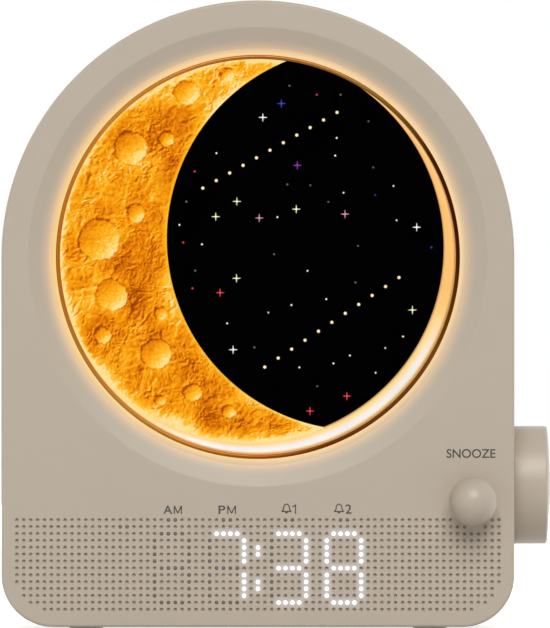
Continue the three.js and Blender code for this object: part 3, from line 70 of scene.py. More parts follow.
def clock_depths(node):
    """The depths of a solid's front and back."""
    return [corner[1] for corner in clock_box(node)]


def clock_face(node):
    """The lower left and the upper right corner of a solid's face to the front, as (x, z)."""
    low, high = clock_box(node)
    return low[[0, 2]], high[[0, 2]]


def srgb(red, green, blue):
    """A colour as a picture shows it, from 0 to 255, as the linear values that a shader takes."""
    shares = np.array((red, green, blue)) / 255
    return np.where(shares <= 0.04045, shares / 12.92, ((shares + 0.055) / 1.055) ** 2.4)


# Facets of round forms
ARCH_STEPS, CORNER_STEPS, ROUND_STEPS = 96, 16, 6
LAMP_STEPS, DIAL_STEPS, BALL_STEPS, DOT_STEPS = 180, 128, 28, 12
DISH_STEPS, HALO_STEPS, LIMB_STEPS, SKY_STEPS = 12, 8, 120, 160
ROUND_LOOPS = ROUND_STEPS + 1
LAMP_TURNS = np.arange(LAMP_STEPS) * 360 / LAMP_STEPS

# Housing, with its box from the frame
HALF_WIDTH, SEAM_FRONT, HEIGHT = clock_box("front_housing")[1]
DEPTH = clock_depths("rear_housing")[1]
LAMP_Z = HEIGHT - HALF_WIDTH
CORNER_RADIUS = 15
WALL = 2.4
FIT = 0.3
FRONT_ROUND, FRONT_FLAT = 0.8, 0.016
BACK_ROUND, BACK_FLAT = 4, 0.05
SEAM_GAP, SEAM_ROUND = 0.3, 0.25
LIP_WALL, LIP_REACH, LIP_ROUND = 1.2, 2, 0.1
END_CLEAR = 0.01

# Lamp, with its boxes from the frame
BEZEL_FRONT, TUBE_BACK = clock_depths("lens_bezel")
HALO_FRONT, HALO_BACK = clock_depths("halo_guide")
LENS_FRONT, LENS_BACK = clock_depths("lens_cover")
PICTURE_DEPTH, PICTURE_BACK = clock_depths("sky_panel")
RIM_BACK = clock_depths("rim_reflector")[1]
BEZEL_RADIUS, HALO_RADIUS, LENS_RADIUS = (
    clock_box(node)[1][0] for node in ("lens_bezel", "halo_guide", "lens_cover")
)
BEZEL_LIP, BEZEL_WALL, BEZEL_ROUND = 1.2, 0.6, 0.5
SEEN_RADIUS = BEZEL_RADIUS - BEZEL_LIP
LENS_CLEAR, LENS_ROUND = 0.05, 0.25
DISH_RADIUS, DISH_DEPTH, DISH_BORDER, DISH_ROUND = 66.7, 2.4, 0.6, 1.2
APERTURE_RADIUS, APERTURE_ROUND = HALO_RADIUS + FIT, 0.25
HALO_CREST, HALO_OVERLAP, HALO_LIFT, HALO_INSET = 0.5, 0.2, 0.06, 0.5

# Picture: the printed disc sits off the lamp's axis and the sky covers its right-hand part
PICTURE_RADIUS = 56.6
PICTURE_X, PICTURE_Z = -2.6, LAMP_Z + 2.8
SKY_RADIUS, SKY_CHAMFER = 55.7, 0.12
SKY_X, SKY_Z = 29.2, LAMP_Z + 5.3
SKY_OFFSET = SKY_X - PICTURE_X, SKY_Z - PICTURE_Z
TUCK = 0.3

# Perforated front and its display
PITCH = 2
COLUMNS, ROWS = 71, 14
TOP_ROW_Z = 31.1
EDGE_CLEAR, BALL_CLEAR = 4.25, 7.7
LED_RADIUS = 0.55
# The painted glow round the lit lights lies on the rings of GLOW_RADIUS round the holes, on their walls down
# to GLOW_DEPTH and on the dimples' mouths, fading over GLOW_REACH.
GLOW_RADIUS, GLOW_DEPTH, GLOW_REACH = 0.96, 0.4, 1.05
DIMPLE = (0.53, 0), (0.5, 0.6), (0, 1)
LED_HOLE = (GLOW_RADIUS, 0), (LED_RADIUS, 0), (LED_RADIUS, GLOW_DEPTH), (LED_RADIUS, WALL)
LIT_DOME = (0, 0), (0.61, -0.01), (0.42, -0.05), (0, -0.06)
DARK_LENS = (0, 0.36), (LED_RADIUS, 0.3), (0.46, 0.24), (0.3, 0.2), (0, 0.18)
DIGIT_COLUMNS = (20, 28, 37, 45)
DIGIT_SPAN = 5
BAR_ROWS = {"top": 2, "middle": 7, "bottom": 12}
POST_ROWS = {"upper": range(3, 7), "lower": range(8, 12)}
COLON_COLUMN = 35
COLON_ROWS = (4, 5, 9, 10)
INDICATOR_COLUMNS = (22, 30, 39, 47)
SENSOR_COLUMN, SENSOR_ROW = 15, 1
TIME = " 738"
GLYPHS = {
    " ": (),
    "3": ("top", "middle", "bottom", "upper right", "lower right"),
    "7": ("top", "upper right", "lower right"),
    "8": ("top", "middle", "bottom", "upper left", "lower left", "upper right", "lower right"),
}

# Controls, with their boxes from the frame
SNOOZE_X, _, SNOOZE_Z = clock_middle("snooze_knob")
BALL_FRONT, STEM_BACK = clock_depths("snooze_knob")
BALL_RADIUS, BALL_TRAVEL = 7, 1
STEM_RADIUS = 2.5
RECESS_DEPTH, RECESS_CHAMFER = 0.35, 0.2
GUIDE_WALL, GUIDE_BACK = 2, 4.2
DIAL_LOW, DIAL_HIGH = clock_box("dial_knob")
_, DIAL_Y, DIAL_Z = clock_middle("dial_knob")
DIAL_RADIUS, DIAL_ROUND = DIAL_HIGH[2] - DIAL_Z, 0.7
DIAL_CROWN, CROWN_SHARES = 0.9, (0.8, 0.6, 0.4, 0.2)
SKIRT_WALL, SKIRT_DEPTH, SKIRT_ROUND = 2.2, 2, 0.3
GROOVE_RADIUS, GROOVE_DEPTH, GROOVE_MARGIN = DIAL_RADIUS + FIT, 0.7, 1
GROOVE_SPAN = GROOVE_RADIUS + GROOVE_MARGIN

# Back and underside, with boxes from the frame
DOOR, DOOR_FRONT = clock_face("battery_door"), clock_depths("battery_door")[0]
DOOR_CORNER, DOOR_SEAT, DOOR_ROUND, DOOR_FLAT = 3, 1.8, 0.4, 0.1
GRIP_COUNT, GRIP_PITCH, GRIP_TOP, GRIP_SIDE = 3, 2, 5, 9
GRIP_HALF, GRIP_BED_HALF, GRIP_DEPTH = 0.5, 0.2, 0.5
SCREW_SUNK, SCREW_TIP_SHARE, SCREW_TIP_DEPTH = 0.1, 0.42, 1.3
SCREW_SEAT_SHARE, SCREW_SEAT_DEPTH = 0.45, 1.2
CROSS_ARM, CROSS_START = ((0.62, -0.13), (0.62, 0.13), (0.16, 0.16)), 45
CROSS_TAPER, CROSS_DEPTH = 0.6, 0.8
USB, USB_MIDDLE = clock_face("usb_socket"), clock_middle("usb_socket")[[0, 2]]
USB_FRONT, USB_BACK = clock_depths("usb_socket")
USB_CORNER, USB_WALL, USB_HOLLOW, USB_CHAMFER = 1.5, 0.4, 6.4, 0.5
TONGUE_HALF, TONGUE_ROUND = np.array((3.3, 0.35)), 0.2
TONGUE_END_HALF, TONGUE_END_ROUND = np.array((3.2, 0.25)), 0.15
TONGUE_SUNK, TONGUE_CHAMFER = 1, 0.2
SLOT_PITCH, SLOT_HALF, SLOT_COUNT = 5, 0.9, 7
SLOT_REACH, SLOT_CHAMFER = 19.5, 0.3
WELL_RADIUS, WELL_WALL, WELL_FLOOR, WELL_CHAMFER = 3.1, 1.2, 26, 0.4
SCREW_WAY = 1.7
FOOT_ROUNDS = 0.35, 0.2
CORNER_NUMBERS = range(1, 5)

# Photograph: its size, its scale, and the pixel of the middle of the housing's underside, from pixel centres
PHOTO_WIDTH, PHOTO_HEIGHT = 550, 628
MM_PER_PIXEL = 0.29045
MIDDLE_PIXEL, UNDERSIDE_PIXEL = 257.4, 626.5

# Printed words and signs, in boxes of (left, right, top, bottom) pixels; a bell's side in half widths
WORDS = {
    "SNOOZE": (446, 495, 448.5, 457.5), "A": (162.8, 171.8, 505, 513.5), "P": (218, 224.8, 505, 513.5),
    "2": (345, 351, 503.8, 513.3),
}
LETTERS_M = (173.8, 180.8, 505.3, 513.5), (227.3, 234.9, 505.3, 513.5)
M_CORNERS = (0, 0), (0, 1), (0.5, 0.1), (1, 1), (1, 0)
BELLS = (281, 291, 503, 514), (333.5, 343.5, 503, 514)
BELL_SIDE = (0, 0.98), (0.16, 0.94), (0.36, 0.8), (0.52, 0.56), (0.58, 0.16), (0.66, -0.22), (0.96, -0.5)
BELL_STROKE = 0.24
CLAPPER_DROP, CLAPPER_RADIUS = 0.62, 0.3
ONE_STEM = (295, 504), (295, 513.6)
ONE_FLAG = (291.8, 506.4), (293.6, 505.6), (295, 504.2)
LETTER_STROKE, PRINT_WEIGHT = 0.35, 0.012
PRINT_DEPTH, PRINT_BACK = -0.02, 0.02

# Colours round the lamp, as (degrees, picture colour): a painted glow on the dish, the bezel's bronze with
# painted light on it, and the halo's light
PAINTED_DISH_GLOW = (0, (121, 89, 30)), (90, (134, 99, 34)), (180, (137, 99, 30)), (270, (127, 95, 36))
PAINTED_DISH_GLOW_REACH, PAINTED_DISH_GLOW_POWER = 3.3, 1.6
# The bezel's bronze, lighter and darker round the ring by painted light and painted reflection; its inner
# edge is paler by a painted highlight.
BRONZE_WITH_PAINTED_LIGHT = (
    (0, (56, 18, 2)), (30, (58, 20, 3)), (60, (122, 84, 36)), (90, (134, 80, 31)),
    (135, (178, 116, 38)), (180, (155, 92, 22)), (225, (156, 104, 36)), (270, (128, 66, 16)),
    (290, (82, 36, 7)), (330, (102, 56, 8)),
)
BEZEL_PAINTED_HIGHLIGHT, BEZEL_PAINTED_HIGHLIGHT_REACH = 1.7, 0.4
HALO_TOP = (
    (0, (246, 212, 162)), (90, (252, 212, 152)), (135, (250, 212, 144)), (180, (252, 210, 128)),
    (225, (250, 215, 148)), (270, (250, 214, 160)),
)
HALO_FOOT = (0, (219, 193, 157)), (90, (226, 196, 157)), (180, (239, 201, 157)), (270, (228, 201, 165))

# Colours of the display, with a painted glow round the lit lights and painted shade round the edges of the
# dark lenses
PAINTED_DOT_GLOW = srgb(108, 121, 145)
LIT_WHITE = srgb(255, 253, 251)
# The dark lenses are grey in the middle, with painted shade round their edges where the holes' walls would
# shade them.
DARK_CENTRE, PAINTED_HOLE_SHADE = srgb(118, 111, 102), srgb(62, 55, 49)
UNLIT_TINTS_AND_PAINTED_SHADE = PAINTED_HOLE_SHADE, PAINTED_HOLE_SHADE, DARK_CENTRE, DARK_CENTRE

# Moon: its colours by brightness, and its craters as (degrees, share of the way in from the limb, radius)
MOON_ACROSS, MOON_ALONG = 120, 860
MOON_RAMP = (
    (0, (150, 64, 0)), (0.15, (200, 98, 0)), (0.3, (226, 123, 0)), (0.45, (241, 145, 5)),
    (0.6, (251, 165, 16)), (0.75, (255, 184, 36)), (0.88, (255, 206, 84)), (1, (255, 224, 150)),
)
CRATERS = (
    (97, 0.5, 2), (112, 0.42, 3.6), (127, 0.68, 2.2), (140, 0.42, 4.8), (163, 0.7, 2.6), (177, 0.4, 6),
    (199, 0.44, 4.6), (211, 0.22, 2.4), (217, 0.8, 1.8), (229, 0.55, 4.4), (240, 0.2, 1.6), (249, 0.5, 2.6),
    (263, 0.5, 1.8),
)
RELIEF, RELIEF_LIMIT, MOON_BACK = 0.16, 2, 0.45
CRATER_EDGE, CRATER_SMOOTH, CRATER_DEPTH, CRATER_BOWL = (-0.3, 0.1), 0.9, 1.2, 0.6
BANK_OFFSET, BANK_WIDTH, BANK_HEIGHT = 0.75, 0.45, 0.35
LEE, OUTLINE_WIDTH, OUTLINE_LEE = 0.7, 0.3, (0.5, -0.7)
CRATER_LIGHT, LEE_LIGHT, OUTLINE_SHADE, BANK_LIGHT = 0.2, 0.42, 0.42, 0.1

# Moon's noises, as (cell, weight, seed), and its lumps with the seed of the patches where they lie
NOISE_CELLS = 256
WARP_ACROSS, WARP_UP = ((5, 1.2, 1), (1.5, 0.5, 13)), ((5, 1.2, 2), (1.5, 0.5, 14))
WRINKLES = (5, 0.45, 3), (2.2, 0.45, 4), (1.2, 0.36, 5), (0.65, 0.24, 6)
RAGGED = (2, 0.35, 7), (0.8, 0.3, 8), (0.45, 0.15, 9)
PATCHES = (12, 1, 11), (5, 0.6, 12)
GRAIN = (0.5, 1, 15), (0.32, 1, 16)
PEBBLES = (1.2, 0.4, 21, 31), (2.3, 0.6, 22, 32)
PEBBLE_CREASE, PEBBLE_PATCH, PEBBLE_PATCH_CELL = 0.85, (-0.3, 0.5), 6

# Moon's light: its glows are (from what, weight, where they end, where they are full), in mm or degrees
LIGHT_STEP, LIGHT_WAY = 0.28, (0.75, -0.66)
SLOPE_LIMIT, LIT_SLOPE, SHADED_SLOPE, LEAST_SHADE = 1.6, 0.24, 0.28, 0.15
MOON_LEVEL, PATCH_SHADE, PATCH_LIMITS, GRAIN_LIGHT = 0.47, 0.3, (-0.9, 1.2), 0.09
CALM_BY_SKY, CALM_BY_LIMB, CALM_IN_CRATER = (0.1, 1.8), (-0.3, 1.4), 0.8
MOON_GLOWS = (
    ("limb", 0.5, 4.6, -0.5), ("sky", 0.12, 5, 0.2), ("sky", 0.16, 1.5, 0.7), ("bezel", 0.35, 2, 0),
    ("turn", 0.2, 255, 285),
)
HORN_GLOW, HORN_REACH, HORN_TURN, HORN_SPAN = 0.32, (10, 1), 100, 9

# Stars: kinds as (colour, count), and two slanting rows of dots as (first, last, count) from the lamp's axis
STAR_SEED = 41
STAR_COLOURS = {
    "white": (245, 245, 240), "dim": (120, 122, 128), "cream": (240, 238, 190), "warm": (250, 226, 180),
    "red": (225, 66, 78), "rose": (206, 150, 168), "blue": (62, 70, 190), "violet": (140, 60, 170),
}
DOT_KINDS = ("white", 20), ("dim", 14), ("red", 4), ("blue", 2)
CROSS_KINDS = ("cream", 5), ("white", 3), ("red", 3), ("rose", 2), ("blue", 1), ("violet", 1)
DOT_ROWS = ((-16, 20), (23, 42), 11), ((2, -32), (41, -6), 11)
DOT_SIZE, ROW_DOT_SIZE = 0.28, 0.46
STAR_ARM = (1.2, -0.06), (1.2, 0.06), (0.17, 0.17)
STAR_LIFT = 0.04
STAR_MARGIN, STAR_SPACING = 3.5, 5
STAR_FIELD = (-40, 60), (-56, 60)

# Rim band: amber, and over it layers of (colour, weight, soft steps in degrees, soft steps across its width)
RIM_ACROSS, RIM_LEAST = 24, 0.05
RIM_SET, RIM_RISE, RIM_BOW = 0.7, 0.5, 0.4
AMBER, PALE_AMBER, GOLD = srgb(246, 184, 108), srgb(252, 204, 134), srgb(250, 208, 136)
# The near white is a painted highlight near the band's foot; the darker gold is painted shade along its
# edges.
PAINTED_GLARE, PAINTED_SHADE_GOLD = srgb(231, 227, 228), srgb(176, 126, 66)
RIM_LAYERS = (
    (PALE_AMBER, 1, [(0, 34)], [(0.1, 0.9)]),
    (GOLD, 1, [(-6, -28), (-180, -150)], []),
    (PAINTED_GLARE, 1, [(-14, -36), (-128, -104)], [(0.18, 0.58), (0.92, 0.68)]),
    (PAINTED_SHADE_GOLD, 0.85, [(-76, -66), (84, 72)], [(0.16, 0)]),
    (PAINTED_SHADE_GOLD, 0.8, [], [(0.76, 0.97)]),
)

# Drift of the finishes over the surface
CLOUD_DETAIL, GRAIN_DETAIL = 3, 2
ROUGHNESS_DRIFT, LEAST_ROUGHNESS, TINT_DRIFT = 0.06, 0.02, 0.06

# Stage, in metres and watts, with the sensor in mm; lamps as (name, place, size, power, seen in gloss)
CAMERA_DISTANCE, SENSOR = 5, 36
FLOOR_REACH, FLOOR_GREY, FLOOR_ROUGHNESS, FLOOR_LIFT = 4, 0.64, 0.9, 0.72
AMBIENT = 0.22
WHITE = (1, 1, 1, 1)
LAMPS = (
    ("key", (0.25, -2.9, 2.3), 2.2, 90, True),
    ("fill", (-1.4, -1.4, 0.3), 1.2, 3, True),
    ("right", (2.8, 1, 0.5), 1.2, 34, False),
    ("left", (-2.8, 1, 0.5), 1.2, 34, False),
    ("back", (0, 3, 0.9), 1.2, 44, False),
)


def photo_place(across, down):
    """The (x, z) of a pixel."""
    return np.array((across - MIDDLE_PIXEL, UNDERSIDE_PIXEL - down)) * MM_PER_PIXEL


def photo_box(left, right, top, bottom):
    """The lower left corner and the size of a box of pixels."""
    start = photo_place(left, bottom)
    return start, photo_place(right, top) - start


# Shapes

def arc(x, z, radius, start, end, steps):
    angles = np.radians(np.linspace(start, end, steps + 1))
    return np.column_stack((x + radius * np.cos(angles), z + radius * np.sin(angles)))


def circle(radius, steps):
    return arc(0, 0, radius, 0, 360, steps)[:-1]


def housing_outline(inset):
    """The housing's outline; its last two corners lie below and above the dial on the right-hand wall."""
    side = HALF_WIDTH - CORNER_RADIUS
    corner = CORNER_RADIUS - inset
    wall = HALF_WIDTH - inset
    return np.vstack((
        arc(0, LAMP_Z, wall, 0, 180, ARCH_STEPS),
        arc(-side, CORNER_RADIUS, corner, 180, 270, CORNER_STEPS),
        arc(side, CORNER_RADIUS, corner, 270, 360, CORNER_STEPS),
        [(wall, DIAL_Z - GROOVE_SPAN), (wall, DIAL_Z + GROOVE_SPAN)],
    ))


def rounded_rectangle(low, high, radius, margin=0):
    """A rectangle with round corners, grown by a margin all round."""
    left, bottom = np.array(low) + radius
    right, top = np.array(high) - radius
    corners = (right, top), (left, top), (left, bottom), (right, bottom)
    return np.vstack([
        arc(x, z, radius + margin, 90 * number, 90 * number + 90, ROUND_STEPS)
        for number, (x, z) in enumerate(corners)
    ])


def level_slot(left, right, level, half):
    """A slot with round ends about a level line; the ends' arcs stay a little apart."""
    return rounded_rectangle((left, level), (right, level), -END_CLEAR, half)


def four_arms(arm, start=0):
    """An outline of four like arms, each with corners of (reach, half width)."""
    outline = []
    for turn in np.radians(start + np.arange(4) * 90):
        ahead = np.array((math.cos(turn), math.sin(turn)))
        aside = np.array((-ahead[1], ahead[0]))
        outline += [ahead * reach + aside * half for reach, half in arm]
    return np.array(outline)


def fillet(corners, radii):
    """A polyline with its inner corners rounded, one radius for each."""
    points = [np.array(corner, float) for corner in corners]
    result = [points[0]]
    for before, corner, after, radius in zip(points, points[1:], points[2:], radii):
        back = (before - corner) / np.linalg.norm(before - corner)
        ahead = (after - corner) / np.linalg.norm(after - corner)
        half = math.acos(np.clip(back @ ahead, -1, 1)) / 2
        middle = corner + (back + ahead) / np.linalg.norm(back + ahead) * radius / math.sin(half)
        start = corner + back * radius / math.tan(half) - middle
        end = corner + ahead * radius / math.tan(half) - middle
        sweep = math.pi - 2 * half
        for share in np.linspace(0, 1, ROUND_LOOPS):
            pull = math.sin((1 - share) * sweep), math.sin(share * sweep)
            result.append(middle + (start * pull[0] + end * pull[1]) / math.sin(sweep))
    return result + [points[-1]]


def disc_profile(radius, start, end, rounds):
    """The profile of a disc with rounded edges, from axis to axis."""
    profile = fillet([(0, start), (radius, start), (radius, end), (0, end)], rounds)
    return [(0, start), *profile[1:-1], (0, end)]


class Surface:
    """Points in clock millimetres, the faces between them and the colours of some of them."""

    def __init__(self):
        self.points = []
        self.faces = []
        self.colours = {}

    def add(self, points):
        start = len(self.points)
        self.points += points
        return list(range(start, len(self.points)))

    def loop(self, outline, depth):
        return self.add([(x, depth, z) for x, z in outline])

    def behind(self, loop, depth):
        """A copy of a loop, set back to a depth."""
        return self.add([(self.points[index][0], depth, self.points[index][2]) for index in loop])

    def bridge(self, first, second, closed=True, gap=None):
        """Joins two loops, except at a gap; a face has three corners where a loop is one point."""
        count = len(first)
        for here in range(count if closed else count - 1):
            ahead = (here + 1) % count
            if here != gap:
                corners = first[here], first[ahead], second[ahead], second[here]
                self.faces.append(tuple(dict.fromkeys(corners)))

    def sleeve(self, outlines):
        """Joins a row of (outline, depth), and returns its loops."""
        loops = [self.loop(outline, depth) for outline, depth in outlines]
        for first, second in zip(loops, loops[1:]):
            self.bridge(first, second)
        return loops

    def turned(self, profile, steps, place, closed=False):
        """Turns a profile about an axis; place sets two coordinates across it and one along it."""
        loops = []
        for radius, along in profile:
            ring = circle(radius, steps) if radius else [(0, 0)]
            loop = self.add([place(across, up, along) for across, up in ring])
            loops.append(loop if radius else loop * steps)
        for first, second in zip(loops, loops[1:] + loops[:1] if closed else loops[1:]):
            self.bridge(first, second)
        return loops

    def cap(self, loop):
        self.faces.append(tuple(loop))

    def solid(self, outlines):
        """A sleeve with both ends closed."""
        loops = self.sleeve(outlines)
        self.cap(loops[0])
        self.cap(loops[-1])
        return loops

    def slab(self, outline, front, back):
        return self.solid([(outline, front), (outline, back)])

    def prism(self, flat, faces, front, back):
        """A closed form between two depths, from the (x, z) points and the faces of its flat shape."""
        first, second = self.loop(flat, front), self.loop(flat, back)
        self.faces += [tuple(side[corner] for corner in face) for side in (first, second) for face in faces]
        uses = Counter(frozenset(edge) for face in faces for edge in zip(face, face[1:] + face[:1]))
        for here, ahead in (edge for edge, count in uses.items() if count == 1):
            self.faces.append((first[here], first[ahead], second[ahead], second[here]))

    def plate(self, outer, holes):
        """Fills a flat outline, less its holes."""
        loops = [outer, *holes]
        indices = [index for loop in loops for index in loop]
        flat = [Vector((self.points[index][0], self.points[index][2])) for index in indices]
        ends = np.cumsum([len(loop) for loop in loops])
        bounds = [part.tolist() for part in np.split(np.arange(ends[-1]), ends[:-1])]
        without_holes, tolerance = 2, 1e-6
        filled = delaunay_2d_cdt(flat, [], bounds, without_holes, tolerance)
        triangles, sources = filled[2], filled[3]
        self.faces += [tuple(indices[sources[corner][0]] for corner in face) for face in triangles]

    def tint(self, loop, colours):
        """Gives a loop one colour, or one for each of its points."""
        self.colours.update(zip(loop, np.broadcast_to(colours, (len(loop), 3))))


def along_depth(x, z):
    return lambda across, up, along: (x + across, along, z + up)


def relief(x, depth, z, colours, back, closed):
    """A tinted form with a flat back, from grids of rows across it; closed on itself or with two ends."""
    form = Surface()
    grid = np.reshape(form.add(list(zip(x.ravel(), depth.ravel(), z.ravel()))), x.shape).tolist()
    form.tint(range(x.size), colours.reshape(-1, 3))
    for first, second in zip(grid, grid[1:] + grid[:1] if closed else grid[1:]):
        form.bridge(first, second, closed=False)
    near, far = [row[0] for row in grid], [row[-1] for row in grid]
    near_back, far_back = form.behind(near, back), form.behind(far, back)
    for first, second in ((near, near_back), (near_back, far_back), (far_back, far)):
        form.bridge(first, second, closed)
    if not closed:
        for end in (0, -1):
            form.cap([*grid[end], far_back[end], near_back[end]])
    return form


def show(name, data):
    """A new object of some data, put in the scene."""
    shown = bpy.data.objects.new(name, data)
    bpy.context.scene.collection.objects.link(shown)
    return shown


def piece(name, surface, slot, stands_for=None, body="housing", finish=None, sharp=35):
    """Makes an object of a surface, set in the frame's metres, and ties it to a body."""
    mesh = bpy.data.meshes.new(name)
    points = ORIGIN + np.array(surface.points, float) * MM
    mesh.from_pydata(points.tolist(), [], surface.faces)
    form = bmesh.new()
    form.from_mesh(mesh)
    bmesh.ops.recalc_face_normals(form, faces=form.faces)
    form.to_mesh(mesh)
    form.free()
    if surface.colours:
        values = np.tile((0.0, 0, 0, 1), (len(points), 1))
        values[list(surface.colours), :3] = list(surface.colours.values())
        layer = mesh.color_attributes.new("tint", "FLOAT_COLOR", "POINT")
        layer.data.foreach_set("color", values.ravel())
    mesh.shade_smooth()
    mesh.set_sharp_from_angle(angle=math.radians(sharp))
    mesh.materials.append(finish or FINISHES[slot])
    result = show(name, mesh)
    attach(result, body)
    if stands_for:
        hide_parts(stands_for)


# Finishes

def feed(tree, node, inputs):
    """Sets inputs of a node to values, or links them to outputs of other nodes."""
    for socket, source in inputs.items():
        if isinstance(source, bpy.types.NodeSocket):
            tree.links.new(source, node.inputs[socket])
        else:
            node.inputs[socket].default_value = source


def new_node(tree, kind, inputs, output, **settings):
    """A new node with its settings and inputs; returns one of its outputs."""
    node = tree.nodes.new(f"ShaderNode{kind}")
    for setting, value in settings.items():
        setattr(node, setting, value)
    feed(tree, node, inputs)
    return node.outputs[output]


def between(tree, share, low, high):
    """A value between two ends, by the share that another node gives."""
    return new_node(tree, "MapRange", {"Value": share, "To Min": low, "To Max": high}, "Result")


def scaled(tree, colour, drift, share, spread):
    """A share of a colour, which drifts a little lighter and darker."""
    scale = between(tree, drift, share * (1 - spread), share * (1 + spread))
    return new_node(tree, "VectorMath", {0: colour, "Scale": scale}, "Vector", operation="SCALE")


def mesh_tint(tree):
    return new_node(tree, "VertexColor", {}, "Color", layer_name="tint")


def principled(name):
    finish = bpy.data.materials.new(name)
    finish.use_nodes = True
    return finish, finish.node_tree, finish.node_tree.nodes["Principled BSDF"]


def new_finish(name, roughness, sockets, cloud=14, grain=0.35, bump=0.006):
    """A finish whose roughness drifts over clouds and whose grains stand out, both of some millimetres."""
    finish, tree, shader = principled(name)
    places = new_node(tree, "TexCoord", {}, "Object")
    drift, grains = (
        new_node(tree, "TexNoise", {"Vector": places, "Scale": 1 / (size * MM), "Detail": detail}, "Fac")
        for size, detail in ((cloud, CLOUD_DETAIL), (grain, GRAIN_DETAIL))
    )
    smoothest = max(roughness - ROUGHNESS_DRIFT, LEAST_ROUGHNESS)
    feed(tree, shader, {
        "Roughness": between(tree, drift, smoothest, roughness + ROUGHNESS_DRIFT),
        "Normal": new_node(tree, "Bump", {"Height": grains, "Distance": bump * MM}, "Normal"),
        **(sockets or {}),
    })
    return finish, tree, shader, drift


def plain_finish(name, colour, roughness, spread=0.04, sockets=None, **texture):
    """A finish of one colour."""
    finish, tree, shader, drift = new_finish(name, roughness, sockets, **texture)
    feed(tree, shader, {"Base Color": scaled(tree, colour, drift, 1, spread)})
    return finish


def tinted_finish(name, roughness, base, glow, sockets=None, **texture):
    """A finish that takes its colour from the mesh, as shares of base colour and of emitted light."""
    finish, tree, shader, drift = new_finish(name, roughness, sockets, **texture)
    feed(tree, shader, {"Base Color": (0, 0, 0, 1), "Emission Strength": 1 if glow else 0})
    for share, socket in ((base, "Base Color"), (glow, "Emission Color")):
        if share:
            feed(tree, shader, {socket: scaled(tree, mesh_tint(tree), drift, share, TINT_DRIFT)})
    return finish


SAND = srgb(186, 173, 156)
CLEAR, METAL = {"Transmission Weight": 1, "IOR": 1}, {"Metallic": 1}
FINISHES = {
    "housing_plastic": plain_finish("sand_plastic", SAND, 0.5, 0.02),
    "knob_plastic": plain_finish("sand_knob", SAND, 0.36, 0.02, bump=0.002),
    "bezel_bronze": tinted_finish("bronze", 0.3, 1, 0, METAL, bump=0.001),
    "halo_light": tinted_finish("halo_light", 0.4, 0.15, 0.82, bump=0.001),
    "clear_lens": plain_finish("clear_lens", srgb(252, 252, 250), 0.03, 0.02, CLEAR, bump=0.0005),
    "opal_white": plain_finish("opal_white", srgb(236, 234, 228), 0.45),
    "moon_amber": tinted_finish("moon_amber", 0.6, 0.02, 1, {"IOR": 1.1}, cloud=0.8, grain=0.4),
    "sky_black": plain_finish("sky_black", srgb(1, 1, 2), 0.45, 0.3, {"Specular IOR Level": 0}, bump=0.0004),
    "rim_amber": tinted_finish("rim_amber", 0.2, 0.1, 1, {"IOR": 1.2}, bump=0.001),
    "circuit_board": plain_finish("circuit_board", srgb(31, 90, 54), 0.4, 0.15, cloud=3, bump=0.01),
    "screw_steel": plain_finish("screw_steel", srgb(190, 190, 188), 0.3, 0.05, METAL, bump=0.002),
    "display_film": plain_finish("display_film", srgb(52, 52, 56), 0.25, 0.05, bump=0.001),
    "black_plastic": plain_finish("black_plastic", srgb(26, 26, 26), 0.5, 0.1),
    "socket_metal": plain_finish("socket_metal", srgb(200, 200, 200), 0.25, 0.05, METAL, bump=0.001),
    "ribbon_cable": plain_finish("ribbon_cable", srgb(232, 230, 224), 0.4, 0.04, grain=1),
    "foot_rubber": plain_finish("foot_rubber", srgb(226, 222, 214), 0.7, 0.05, grain=0.5, bump=0.02),
    "speaker_paper": plain_finish("speaker_paper", srgb(46, 46, 44), 0.85, 0.2, grain=0.8, bump=0.05),
    "magnet_iron": plain_finish("magnet_iron", srgb(80, 80, 82), 0.5, 0.1, METAL, bump=0.01),
}
LIT_DOT = tinted_finish("lit_dot", 0.3, 0.1, 1.5, bump=0)
DARK_DOT = tinted_finish("dark_dot", 0.25, 1, 0, bump=0)
STAR = tinted_finish("star", 0.4, 0, 1.1, {"IOR": 1.1}, bump=0)
PRINT = plain_finish("grey_print", srgb(62, 56, 50), 0.55, 0.05, bump=0.001)


def painted_glow_plastic():
    """The sand plastic of the front, which emits the painted glow in its mesh tint: round the display's lit
    lights and on the dish near the aperture.
    """
    finish = FINISHES["housing_plastic"].copy()
    finish.name = "sand_plastic_painted_glow"
    tree = finish.node_tree
    feed(tree, tree.nodes["Principled BSDF"], {"Emission Color": mesh_tint(tree), "Emission Strength": 1})
    return finish


def dress_solids():
    """Every solid takes the finish of its slot; piece() hides those that a piece stands for."""
    slots = {part["node"]: part["material_slot"] for part in frame["record"]["subparts"]}
    for name, node in frame["nodes"].items():
        node.data.materials.clear()
        node.data.materials.append(FINISHES[slots[name]])


# Blends

def smooth(low, high, value):
    """A soft step from 0 at one value to 1 at another."""
    share = np.clip((value - low) / (high - low), 0, 1)
    return share ** 2 * (3 - 2 * share)


def soft_steps(steps, value):
    """The product of some soft steps, and 1 for none."""
    return math.prod((smooth(*step, value) for step in steps), start=np.ones_like(value))


def bell(middle, width, value):
    return np.exp(-((value - middle) / width) ** 2)


def blend(value, stops, period=None):
    """A colour between stops of (value, picture colour), blended as linear light."""
    places = [place for place, _ in stops]
    colours = np.array([srgb(*colour) for _, colour in stops])
    return np.stack([np.interp(value, places, channel, period=period) for channel in colours.T], axis=-1)


# Display

def dot_place(column, row):
    return (column - (COLUMNS - 1) / 2) * PITCH, TOP_ROW_Z - row * PITCH


def glyph_dots(column):
    """The dots of each segment of the digit that starts at a column."""
    dots = {}
    for name, row in BAR_ROWS.items():
        dots[name] = [(column + step, row) for step in range(1, DIGIT_SPAN)]
    for name, rows in POST_ROWS.items():
        dots[f"{name} left"] = [(column, row) for row in rows]
        dots[f"{name} right"] = [(column + DIGIT_SPAN, row) for row in rows]
    return dots


